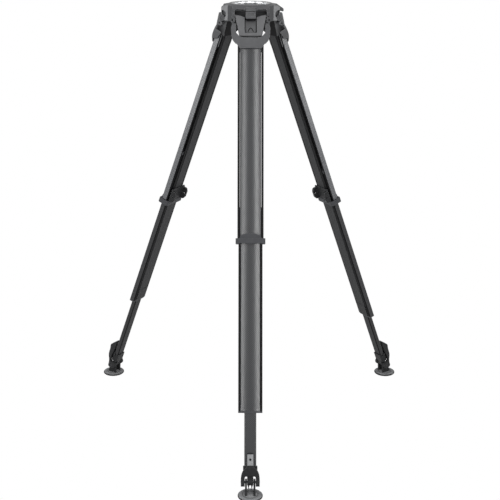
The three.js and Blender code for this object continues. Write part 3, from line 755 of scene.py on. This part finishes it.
def crown_mesh():
    seat = RIM_RADIUS + 0.3
    profile = rounded([
        (CROWN_CORE, -CROWN_BOTTOM), (CROWN_RADIUS - 5, -CROWN_BOTTOM), (CROWN_RADIUS, -CROWN_BOTTOM + 5),
        (CROWN_RADIUS, CROWN_SHOULDER - 2.5), (CROWN_RADIUS - 2.5, CROWN_SHOULDER),
        (RIM_RADIUS + 5, RIM_HEIGHT), (CROWN_CORE, RIM_HEIGHT),
    ], [0, 3, 3, 2, 2, 1, 0])
    body = lathe(profile, 96)
    high = RIM_HEIGHT + RUN
    low = -CROWN_BOTTOM - RUN
    ring = lathe([(CROWN_BAY, low), (CROWN_RADIUS + RUN, low), (CROWN_RADIUS + RUN, high), (CROWN_BAY, high)], 90)
    bays = cut(ring, *around_crown(lambda: block((-EAR_HALF, EAR_HALF), (0, CROWN_RADIUS + 2 * RUN), (low - 1, high + 1))))
    limit = lathe([(0, low), (CROWN_RADIUS + 1.5, low), (CROWN_RADIUS + 1.5, high), (0, high)], 96)
    boss_rows = []
    for way in (-1, 1):
        ends = sorted((way * (POCKET_HALF - RUN), way * PIN_BOSS_END))
        boss_rows += around_crown(lambda: rod(PIN_BOSS_RADIUS, *ends, "X", HIP_RADIUS, 0, 48))
    bosses = common(joined(boss_rows[0], *boss_rows[1:]), limit)
    recesses = [recess for way in (-1, 1) for recess in around_crown(lambda: ear_recess(way))]
    seat_cut = lathe([
        (0, -CROWN_BOTTOM - RUN), (CROWN_CORE - 2.5, -CROWN_BOTTOM - RUN), (CROWN_CORE - 2.5, RIM_HEIGHT - BOWL_DEPTH - 0.3),
        *[(r + 0.6, z - 0.3) for r, z in ball_arc(BALL_RADIUS + BOWL_WALL, RIM_THICKNESS, BOWL_DEPTH, 8)[::-1]],
        (seat, RIM_HEIGHT - RIM_THICKNESS - 0.3), (seat, RIM_HEIGHT + 8), (0, RIM_HEIGHT + 8),
    ], 96)
    body = cut(body, bays)
    body = cut(body, *recesses)
    body = joined(body, bosses)
    body = cut(body, *around_crown(pocket_void), *around_crown(lock_void))
    body = joined(body, *around_crown(lock_lugs))
    axle = HIP_PIN_HALF + RUN
    bores = around_crown(lambda: rod(HIP_PIN_RADIUS + 0.3, -axle, axle, "X", HIP_RADIUS, 0))
    bores += around_crown(lambda: rod(
        LOCK_BORE_RADIUS, -LOCK_BORE_HALF, LOCK_BORE_HALF, "X", HIP_RADIUS + LOCK_OUT, LOCK_UP, 24))
    body = cut(body, *bores, seat_cut)
    sides = [Matrix.Rotation(math.radians(120 * number), 3, "Z") @ Vector((1, 0, 0)) for number in range(3)]

    # Painted highlight: the flat outer faces of the ears take a lighter copy of the crown coat, as light from the side.
    def highlighted_ear_side(centre, facing):
        return any(abs(facing.dot(side)) > EAR_FACING and abs(abs(centre.dot(side)) - EAR_HALF) < EAR_FACE_BAND
                   for side in sides)
    return painted(finished(body, "crown_mesh", bevel=0.9, segments=3), highlighted_ear_side)


# Leg head

def hip_block_mesh():
    face = rounded([
        (-CHANNEL_HALF, BLOCK_TOP - BLOCK_DIP), (-BLOCK_HALF_TOP, BLOCK_TOP), (-BLOCK_HALF_BOTTOM, -BLOCK_LENGTH),
        (BLOCK_HALF_BOTTOM, -BLOCK_LENGTH), (BLOCK_HALF_TOP, BLOCK_TOP), (CHANNEL_HALF, BLOCK_TOP - BLOCK_DIP),
    ], [3, 3, 2, 2, 3, 3])
    back = -UPPER["depth"] / 2
    profile = rounded([
        (back, -BLOCK_LENGTH), (BLOCK_FACE, -BLOCK_LENGTH), (BLOCK_FACE, 7), (11, BLOCK_TOP), (-8, BLOCK_TOP), (back, 7),
    ], [0, 0, 5, 5, 5, 5])
    body = common(prism(face, back, BLOCK_FACE, "Y"), prism(profile, -60, 60, "X"))
    channel = prism(rounded([
        (-CHANNEL_HALF, -CHANNEL_END), (CHANNEL_HALF, -CHANNEL_END), (CHANNEL_HALF, BLOCK_TOP + RUN),
        (-CHANNEL_HALF, BLOCK_TOP + RUN)], [6, 6, 0, 0]), CHANNEL_FLOOR, BLOCK_FACE + RUN, "Y")
    step = block((-BLOCK_HALF_TOP, BLOCK_HALF_TOP), (UPPER["depth"] / 2, BLOCK_FACE + RUN),
                 (-BLOCK_LENGTH - RUN, -54))
    body = cut(body, channel, step)
    shield = prism(rounded([(-15.5, -43), (15.5, -43), (16.5, -2), (-16.5, -2)], [5, 5, 2, 2]),
                   CHANNEL_FLOOR - 1, CHANNEL_FLOOR + 2.2, "Y")
    arch_line = smooth_curve([(0, -26), (3.5, -28), (7, -33), (9.5, -39.5)], 4)
    arch_back = smooth_curve([(7.2, -40), (5, -35), (2.4, -30.6), (0, -29)], 4)
    arch = prism([
        *arch_line, *arch_back, *[(-a, b) for a, b in arch_back[-2::-1]], *[(-a, b) for a, b in arch_line[:0:-1]],
    ], CHANNEL_FLOOR + 0.8, CHANNEL_FLOOR + RUN, "Y")
    plug = prism(rounded(mirrored([(36.3, 11.3), (36.3, -11.3)]), 2), -BLOCK_LENGTH - 38, -BLOCK_LENGTH + 1, "Z")
    studs = [rod(LEVER_STUD_RADIUS, *sorted((way * 34, way * 54)), "X", LEVER_OUT, -LEVER_DOWN) for way in (-1, 1)]
    body = joined(body, cut(shield, arch), plug, *studs)
    body = cut(body, rod(HIP_PIN_RADIUS + 0.3, -60, 60, "X", 0, 0),
               rod(4.3, -BLOCK_LENGTH - 38 - RUN, -BLOCK_LENGTH - 26, "Z"))
    mesh = finished(body, "hip_block_mesh", bevel=0.9, segments=3)

    # Painted shade: faces looking inward, and the channel's floor and arch groove around the shield, take the
    # near-black second material.
    def dark(centre, facing):
        in_channel = abs(centre.x) < CHANNEL_HALF and centre.z > -CHANNEL_END and centre.y < CHANNEL_FLOOR + 1.9
        return facing.y < INNER_FACING or (facing.y > 0.5 and in_channel)
    return painted(mesh, dark)


def spread_lock_mesh():
    """A tapered tongue with rounded lower corners and a shallow recess in its face."""
    profile = rounded([
        (-2.4, 6.8), (3.8, 6.8), (6.6, 3.6), (15.5, -24), (13, -29.5), (10.5, -32), (8, -29.5), (6, -12), (-2.4, -2.4),
    ], [2, 1.5, 1.5, 2, 1.5, 1, 1, 6, 2])
    front = rounded([
        (-TONGUE_HALF, 8), (TONGUE_HALF, 8), (TONGUE_HALF, -32.5), (-TONGUE_HALF, -32.5)], [0, 0, 6, 6])
    body = common(prism(profile, -TONGUE_HALF, TONGUE_HALF, "X"), prism(front, -10, 20, "Y"))
    body = joined(body, rod(LOCK_PIN_RADIUS, -LOCK_PIN_HALF, LOCK_PIN_HALF, "X", 0, 0, 24))
    slant = math.degrees(math.atan2(8, 24))
    recess = moved(turned_by(prism(rounded([
        (-11, -19.5), (11, -19.5), (11, -7.5), (-11, -7.5)], [4, 4, 2, 2]), -1.6, 12, "Y"), slant, "X"), 0, 7.5, 0)
    line = moved(turned_by(block((-LOCK_HALF - 1, LOCK_HALF + 1), (-2.6, 12), (-5.6, -3.6)), slant, "X"), 0, 7.5, 0)
    mesh = finished(cut(body, recess, line), "spread_lock_mesh", bevel=0.6, segments=2)

    # Painted shade: the groove across the face and the downward underside of the tongue take the near-black second
    # material.
    def dark(centre, facing):
        groove = -6.4 < centre.z < -3.2 and centre.y > 4
        underside = facing.z < -0.3 and centre.z < -22 and centre.y > 5
        return groove or underside
    return painted(mesh, dark)


def hip_pin_mesh():
    body = rod(HIP_PIN_RADIUS, -HIP_PIN_HALF, HIP_PIN_HALF, "X")
    sockets = [prism(circle(2.4, steps=6), *sorted((way * (HIP_PIN_HALF - 4), way * (HIP_PIN_HALF + RUN))), "X")
               for way in (-1, 1)]
    return finished(cut(body, *sockets), "hip_pin_mesh", bevel=0.6)


def lever_dome(inset):
    """The ball that the lever's skin follows, less an inset."""
    radius = LEVER_DOME - inset
    steps = 120
    arc = [(radius * math.sin(math.pi * i / steps), -radius * math.cos(math.pi * i / steps)) for i in range(1, steps)]
    ball = lathe([(0, -radius), *arc, (0, radius)], 240)
    return moved(ball, 0, LEVER_CREST - LEVER_DOME, -LEVER_CREST_DOWN)


def lever_contour(inset, overrun):
    """The lever's outline from the front: bowed sides that draw in to a flat foot."""
    return mirrored(rounded([
        (32 - inset, -LEVER_BOTTOM - overrun), (42.5 - inset, -78), (54.5 - inset, -62),
        (58.5 - inset, -48), (LEVER_HALF - inset, -27), (LEVER_BOSS_OUTER - inset, overrun - LEVER_DOWN),
    ], [0, 14, 14, 14, 14, 0]))


def lever_mesh():
    back, front = -15 - RUN, LEVER_CREST + RUN
    window = prism(mirrored(rounded([
        (44.5, RUN - LEVER_DOWN), (44.5, -44), (33, -57), (20, -61.5), (6, -61.5),
    ], [0, 10, 9, 9, 0])), back, front + RUN, "Y")
    body = common(lever_dome(0), prism(lever_contour(0, 0), back, front, "Y"))
    hollow = common(lever_dome(LEVER_SHELL), prism(lever_contour(LEVER_SHELL, RUN), back - RUN, front + RUN, "Y"))
    behind = prism(rounded([
        (back - RUN, RUN - LEVER_DOWN), (LEVER_OUT, RUN - LEVER_DOWN), (LEVER_OUT, -LEVER_DOWN), (5, -27), (6.6, -39.8),
        (-15, -43), (-11.8, -48), (0, -74), (14.85, -77.2), (14.85, -LEVER_BOTTOM - RUN), (back - RUN, -LEVER_BOTTOM - RUN),
    ], [0, 0, 0, 3, 3, 2, 2, 5, 3, 0, 0]), -LEVER_HALF - 1, LEVER_HALF + 1, "X")
    bosses = [rod(LEVER_BOSS_RADIUS, *sorted((way * LEVER_BOSS_INNER, way * LEVER_BOSS_OUTER)), "X",
                  LEVER_OUT, -LEVER_DOWN, 48) for way in (-1, 1)]
    body = cut(body, hollow)
    body = joined(cut(body, behind, window), *bosses)
    body = cut(body, rod(LEVER_BORE_RADIUS, -70, 70, "X", LEVER_OUT, -LEVER_DOWN))
    return finished(body, "brake_lever_mesh", bevel=0.8, segments=2, angle=34)


# Leg stages

def stage_line(stage):
    """Section of a stage, in X and Y: crowned outer plate between two grooves, raised inner strip."""
    side, top = stage["width"] / 2, stage["depth"] / 2
    edge = top - stage["crown"]
    plate, groove = stage["plate"], stage["plate"] + GROOVE_WIDTH
    shares = [i / PLATE_STEPS for i in range(PLATE_STEPS + 1)]
    crown = [(plate * share, top - stage["crown"] * share ** 2) for share in shares]
    half = [
        *crown, (plate, edge - GROOVE_DEPTH), (groove, edge - GROOVE_DEPTH), (groove, edge), (side, edge),
        (side, stage["inner"] - top), (side - stage["inner"], RIB_RISE - top), (stage["rib"], RIB_RISE - top),
        (stage["rib"], -top),
    ]
    radii = [0] * len(crown) + [0, 0, 0, stage["corner"], 2.5, 2.5, 0.3, 0.5]
    return rounded(mirrored(half), radii + radii[:0:-1], 4)


def with_inner_face(mesh, stage):
    """Gives the faces that look inward, and the flats beside the outer plate, the second material: dark grey on the
    inner strip, and near black painted shade elsewhere.
    """
    def chosen(centre, facing):
        shaded_lip = facing.y > LIP_FACING and abs(centre.x) > stage["plate"]
        return shaded_lip or facing.y < INNER_FACING
    return painted(mesh, chosen)


def bore_line(width, depth, corner):
    return rounded([(-width / 2, depth / 2), (width / 2, depth / 2), (width / 2, -depth / 2), (-width / 2, -depth / 2)],
                   corner)


def tube_mesh(stage, length, wall, name):
    body = prism(stage_line(stage), 0, length, "Z")
    bore = bore_line(stage["width"] - 2 * wall[0], stage["depth"] - 2 * wall[1], 3)
    hollow = cut(body, prism(bore, -RUN, length + RUN, "Z"))
    return with_inner_face(finished(hollow, name, bevel=0.25, segments=1, angle=50), stage)


def lower_tube_mesh(length):
    body = prism(bore_line(LOWER_WIDTH, LOWER_DEPTH, LOWER_CORNER), 0, length, "Z")
    bore = bore_line(LOWER_WIDTH - 4, LOWER_DEPTH - 4, 2.5)
    hollow = cut(body, prism(bore, -RUN, length + RUN, "Z"))
    return with_inner_face(finished(hollow, "lower_tube_mesh", bevel=0.25, segments=1, angle=50), LOWER)


def collar_mesh():
    width, depth = UPPER["width"] + 2 * COLLAR_WALL, UPPER["depth"] + 2 * COLLAR_WALL
    ring = prism(bore_line(width, depth, 7), 0, COLLAR_HEIGHT, "Z")
    tongue = prism(mirrored([(0, 31.6), *smooth_curve([(9, 31.6), (19, 30.2), (27, 27.2), (31, 22.5), (33, 16)], 5),
                             (33, 12), (0, 12)]),
                   UPPER["depth"] / 2 - 0.6, UPPER["depth"] / 2 + 2.9, "Y")
    hole = prism(bore_line(UPPER["width"] + 0.6, UPPER["depth"] + 0.6, 4.5), -RUN, COLLAR_HEIGHT + 20, "Z")
    body = cut(joined(ring, tongue), hole)
    scoop = prism(mirrored([(0, 0.6), *smooth_curve([(14, 0.9), (28, 1.6), (36, 0)], 4), (36, -RUN), (0, -RUN)]),
                  UPPER["depth"] / 2, 40, "Y")
    return finished(cut(body, scoop), "collar_mesh", bevel=1.2, segments=3)


def bracket_mesh():
    back = -UPPER["depth"] / 2 - 0.3
    base = prism(rounded([(-37, 0), (37, 0), (37, 46), (-37, 46)], [1, 1, 4, 4]), back - 3.4, back, "Y")
    lug = rounded([(back - 1.7, 0), (back - 15, 0), (back - 20, 10), (back - 20, 30), (back - 15, 40), (back - 1.7, 40)],
                  [0, 4, 3, 6, 6, 0])
    body = joined(base, *[prism(lug, *sorted((way * 37, way * 28.5)), "X") for way in (-1, 1)])
    body = cut(body, rod(3.6, -45, 45, "X", back - 12.4, 20))
    return finished(body, "spreader_bracket_mesh", bevel=0.9)


def end_cap_mesh():
    body = prism(stage_line(MIDDLE), 0, 5, "Z")
    plug = prism(bore_line(MIDDLE["width"] - 5.6, MIDDLE["depth"] - 5.6, 3.5), 2, 21, "Z")
    hole = prism(bore_line(LOWER_WIDTH + 0.7, LOWER_DEPTH + 0.7, LOWER_CORNER), -RUN, 30, "Z")
    return finished(cut(joined(body, plug), hole), "end_cap_mesh", bevel=0.5)


def screws_mesh():
    """Five round-headed screws with crossed recesses on a thin plate. The plate's back is at y = 0."""
    plate = prism(rounded([(-24, 0), (24, 0), (24, 44), (-24, 44)], 3), -0.8, 0, "Y")
    heads, slots = [], []
    for x, z in ((-19.5, 9), (19.5, 9), (0, 9), (-19.5, 35), (19.5, 35)):
        heads.append(moved(turned_by(lathe([(0, -0.4), (2.7, -0.4), (2.7, 0.5), (2.0, 1.3), (0, 1.6)], 32), 90, "X"),
                           x, 0, z))
        for turn in (0, 90):
            bar = turned_by(block((-0.4, 0.4), (-3.4, -0.9), (-1.6, 1.6)), turn, "Y")
            slots.append(moved(bar, x, 0, z))
    return finished(cut(joined(plate, *heads), *slots), "screws_mesh", bevel=0.2, segments=1)


# Foot

def fork_mesh():
    shell = prism(bore_line(43, 22, 5), 17, 49, "Z")
    side = rounded([(-11, 49), (0, 40), (11, 49), (11, 26), (10, 17), (-10, 17), (-11, 26)], [2, 4, 2, 4, 3, 3, 4])
    body = common(shell, prism(side, -22, 22, "X"))
    body = cut(body, prism(bore_line(LOWER_WIDTH + 0.6, LOWER_DEPTH + 0.6, LOWER_CORNER), 25, 60, "Z"))
    tongue = prism(rounded([(-8.5, 0), (8.5, 0), (10, 20), (-10, 20)], [0, 0, 0, 0]), -9.2, 9.2, "X")
    spikes = [moved(turned_by(lathe([(0, 0), (3, 0), (3, 2.5), (2.4, 4), (0.25, 15), (0, 15.2)], 28), 180, "X"),
                    way * 4.8, 0, -7) for way in (-1, 1)]
    body = joined(body, tongue, rod(10, -9.2, 9.2, "X", 0, 0, 40), *spikes)
    return finished(cut(body, rod(4.3, -30, 30, "X")), "ankle_fork_mesh", bevel=0.8)


def ankle_pin_mesh():
    body = rod(4, -28.5, 28.5, "X")
    sockets = [prism(circle(2.0, steps=6), *sorted((way * 25, way * 30)), "X") for way in (-1, 1)]
    return finished(cut(body, *sockets), "ankle_pin_mesh", bevel=0.5)


def pad_mesh():
    """The pad stands upright about the ankle: a dished disc with a raised middle, two ears and ribs up to them."""
    floor = -ANKLE_HEIGHT
    dish = lathe(rounded([
        (0, 0), (PAD_RADIUS - 1.8, 0), (PAD_RADIUS, 1.8), (PAD_RADIUS, 4), (PAD_RADIUS - 1.8, 5.8),
        (30, 5.2), (25, 7), (21, 9), (0, 9),
    ], [0, 1.5, 1.5, 1.5, 1.5, 4, 4, 4, 0], 4), 96)
    dish = moved(dish, 0, PAD_OFFSET, floor)
    tread = [moved(lathe([(radius, -1), (radius + 2, -1), (radius + 2, 0.9), (radius, 0.9)], 96), 0, PAD_OFFSET, floor)
             for radius in (9, 17, 25)]
    side = rounded([(-10, 0), (-7.5, -34.8), (26, -34.8), (10, 0)], [0, 1, 1, 0])
    ears = []
    for way in (-1, 1):
        ends = sorted((way * 9.8, way * 15.6))
        ears += [rod(10, *ends, "X", 0, 0, 40), prism(side, *ends, "X")]
    body = cut(joined(dish, *ears), rod(4.3, -20, 20, "X"), *tread)
    return finished(body, "foot_pad_mesh", bevel=1.0, segments=2)


def strap_mesh():
    """A rubber strap: two lobes on the ankle's pin, a bridge over the fork, and a hooked tab with a hole."""
    side = smooth_curve([(14, -6), (14.5, 6), (18, 18), (26, 31), (34.5, 46), (38.5, 59), (38, 66)], 5)
    tip = [(23.5, 85), (20, 86), (18.5, 80)]
    back = smooth_curve([(29, 62), (33, 54), (30, 43), (24, 33), (18, 24), (12.5, 14), (6, 11), (0, STRAP_LOBE)], 5)
    flange = smooth_curve([(18, 77), (18.5, 64), (18, 50), (16, 38), (14.5, 26), (12.5, 14)], 5)
    outline = [(0, -STRAP_LOBE), (7, -STRAP_LOBE), (11, -10.5), *side, *tip, *flange, (6, 11), (0, STRAP_LOBE)]
    channel = prism([*back[:-10], *reversed(flange)], -5.8, 5.8, "X")
    front = mirrored([
        (0, 90), (9, 90), *smooth_curve([(9, 56), (11, 48), (18, 40), (23, 34), (26.5, 24), (28, 12)], 5), (28, -17), (0, -17),
    ])
    band = common(prism(outline, -28, 28, "X"), prism(front, -5, 50, "Y"))
    body = joined(band, rod(STRAP_LOBE, -28, 28, "X", 0, 0, 40))
    inside = prism(rounded([(-16.6, -50), (16.6, -50), (16.6, 21), (-16.6, 21)], [0, 0, 9, 9]), -50, 50, "Y")
    body = cut(body, channel)
    body = cut(body, inside, rod(4.3, -40, 40, "X"), prism(circle(3.4, 0, 71, 28), 0, 60, "Y"))
    mesh = finished(body, "foot_strap_mesh", bevel=1.0, segments=2)
    return painted(mesh, lambda centre, facing: centre.z > TAB_START and facing.y > TAB_FACING)


# Placing

def dress_crown():
    matrix = crown_frame()
    place("crown_body", crown_mesh(), matrix, "crown", "casting", "crown", ["crown_casting"])
    place("bowl_seat", bowl_ring_mesh(), matrix, "crown", "bowl", "bowl", ["bowl_ring"])


def dress_legs():
    meshes = {
        "hip_block": hip_block_mesh(), "lock": spread_lock_mesh(), "pin": hip_pin_mesh(), "lever": lever_mesh(),
        "collar": collar_mesh(), "bracket": bracket_mesh(), "cap": end_cap_mesh(), "screws": screws_mesh(),
        "fork": fork_mesh(), "ankle_pin": ankle_pin_mesh(), "pad": pad_mesh(), "strap": strap_mesh(),
    }
    for kind, stage, wall in (("upper", UPPER, (2.85, 2.85)), ("mid", MIDDLE, (2.5, 2.5))):
        low, high = span("front", f"{kind}_tube")
        meshes[f"{kind}_tube"] = tube_mesh(stage, high - low, wall, f"{kind}_tube_mesh")
    low, high = span("front", "lower_tube")
    meshes["lower_tube"] = lower_tube_mesh(high - low)
    for side in SIDES:
        def at(node):
            return along(side, span(side, node)[0])
        ankle = LEG[side].copy()
        ankle.translation = ANKLE[side]
        screws = at("screw_plate") @ Matrix.Translation((0, -(MIDDLE["depth"] / 2 + 0.3) * MM, 0))
        rows = (
            ("hip_head", "hip_block", LEG[side], "leg", "casting", "casting", "hip_block"),
            ("hip_axle", "pin", LEG[side], None, "pins", "blackened", "hip_pin"),
            ("lock_tongue", "lock", lock_frame(side), "lock", "lock", "lock", "spread_lock"),
            ("lever_hood", "lever", LEG[side], "lever", "casting", "hood", "brake_lever"),
            ("upper_stage", "upper_tube", at("upper_tube"), "leg", "carbon", "upper", "upper_tube"),
            ("upper_collar", "collar", at("collar"), "leg", "polymer", "polymer", "collar"),
            ("spreader_ears", "bracket", at("spreader_bracket"), "leg", "casting", "fork", "spreader_bracket"),
            ("mid_stage", "mid_tube", at("mid_tube"), "mid", "carbon", "middle", "mid_tube"),
            ("mid_cap", "cap", at("mid_end_cap"), "mid", "polymer", "polymer", "mid_end_cap"),
            ("mid_screws", "screws", screws, "mid", "polymer", "fork", "screw_plate"),
            ("lower_stage", "lower_tube", at("lower_tube"), "lower", "carbon", "lower", "lower_tube"),
            ("ankle_casting", "fork", ankle, "lower", "fork", "fork", "spike_fork"),
            ("ankle_axle", "ankle_pin", ankle, "lower", "pins", "blackened", "ankle_pin"),
            ("hold_strap", "strap", ankle, "lower", "strap", "strap", "foot_strap"),
            ("rubber_foot", "pad", upright_frame(side, ANKLE[side]), "foot", "rubber", "rubber", "foot_pad"),
        )
        for name, kind, matrix, body, slot, material, node in rows:
            owner = f"{side}_{body}" if body else "crown"
            mesh = meshes[kind]
            if kind in ("pad", "strap", "lock"):
                mesh = mesh.copy()
                mesh.transform(matrix)
                matrix = Matrix()
            place(f"{side}_{name}", mesh, matrix, owner, slot, material, [f"{side}_{node}"])


def dress_hidden_nodes():
    """The solids that keep their own shape, inside the legs, get their materials."""
    kinds = {"brake_rod": "steel", "mid_bush": "polymer", "lower_bush": "polymer"}
    for side in SIDES:
        for node, material in kinds.items():
            data = frame["nodes"][f"{side}_{node}"].data
            data.materials.clear()
            data.materials.append(MATERIALS[material])


# Studio

def studio_floor():
    half = 30
    bm = bmesh.new()
    bm.faces.new([bm.verts.new((x * half, y * half, 0)) for x, y in ((-1, -1), (1, -1), (1, 1), (-1, 1))])
    floor = solid(bm)
    floor.name = "studio_floor"
    shader = Shader("pale_floor", (0.86, 0.86, 0.86), 0.9, specular=0.1)
    glow = shader.node("ShaderNodeEmission")
    mix = shader.node("ShaderNodeMixShader")
    path = shader.node("ShaderNodeLightPath")
    seen = shader.math("MAXIMUM", path.outputs["Is Camera Ray"], path.outputs["Is Glossy Ray"])
    shader.link(seen, mix.inputs[0])
    shader.link(shader.surface.outputs[0], mix.inputs[1])
    shader.link(glow.outputs[0], mix.inputs[2])
    shader.link(mix.outputs[0], shader.tree.nodes["Material Output"].inputs["Surface"])
    floor.data.materials.append(shader.material)


def studio_world():
    world = bpy.data.worlds.new("studio_world")
    world.use_nodes = True
    bpy.context.scene.world = world
    tree = world.node_tree
    background = tree.nodes["Background"]
    path = tree.nodes.new("ShaderNodeLightPath")
    strength = tree.nodes.new("ShaderNodeMapRange")
    strength.inputs["To Min"].default_value = WORLD_FILL
    strength.inputs["To Max"].default_value = 1.0
    seen = tree.nodes.new("ShaderNodeMath")
    seen.operation = "MAXIMUM"
    tree.links.new(path.outputs["Is Camera Ray"], seen.inputs[0])
    tree.links.new(path.outputs["Is Glossy Ray"], seen.inputs[1])
    tree.links.new(seen.outputs[0], strength.inputs["Value"])
    tree.links.new(strength.outputs[0], background.inputs["Strength"])
    background.inputs["Color"].default_value = (1, 1, 1, 1)


def studio_lamp(name, position, target, size, power):
    lamp = bpy.data.lights.new(name, "AREA")
    lamp.shape = "RECTANGLE"
    lamp.size, lamp.size_y = size
    lamp.energy = power
    holder = bpy.data.objects.new(name, lamp)
    bpy.context.scene.collection.objects.link(holder)
    holder.location = position
    aim = Vector(target) - Vector(position)
    holder.rotation_euler = aim.to_track_quat("-Z", "Y").to_euler()


def studio_lamps():
    middle = (0, 0, 0.8)
    studio_lamp("left_strip", (-0.81, -3.4, 2.2), middle, (0.30, 2.6), 30)
    studio_lamp("right_strip", (0.81, -3.4, 2.2), middle, (0.30, 2.6), 40)
    studio_lamp("left_softbox", (-3.6, -1.6, 1.6), middle, (2.4, 3.0), 90)
    studio_lamp("right_softbox", (3.6, -1.6, 1.6), middle, (2.4, 3.0), 75)
    studio_lamp("top_softbox", (0, -0.6, 3.8), middle, (3.2, 3.2), 60)


def studio_camera():
    data = bpy.data.cameras.new("photo_camera")
    data.lens = CAMERA_LENS
    data.sensor_width = SENSOR_WIDTH
    data.clip_end = 100
    pitch, yaw, roll = (math.radians(d) for d in (CAMERA_PITCH_DEGREES, CAMERA_YAW_DEGREES, CAMERA_ROLL_DEGREES))
    forward = Vector((math.sin(yaw) * math.cos(pitch), math.cos(yaw) * math.cos(pitch), math.sin(pitch)))
    level = Vector((math.cos(yaw), -math.sin(yaw), 0))
    upward = level.cross(forward)
    right = level * math.cos(roll) + upward * math.sin(roll)
    up = upward * math.cos(roll) - level * math.sin(roll)
    camera = bpy.data.objects.new("photo_camera", data)
    camera.matrix_world = basis(right, up, -forward, Vector(CAMERA_PLACE))
    bpy.context.scene.collection.objects.link(camera)
    bpy.context.scene.camera = camera


studio_camera()
studio_floor()
studio_world()
studio_lamps()
bpy.context.scene.view_settings.view_transform = "Standard"
dress_crown()
dress_legs()
dress_hidden_nodes()
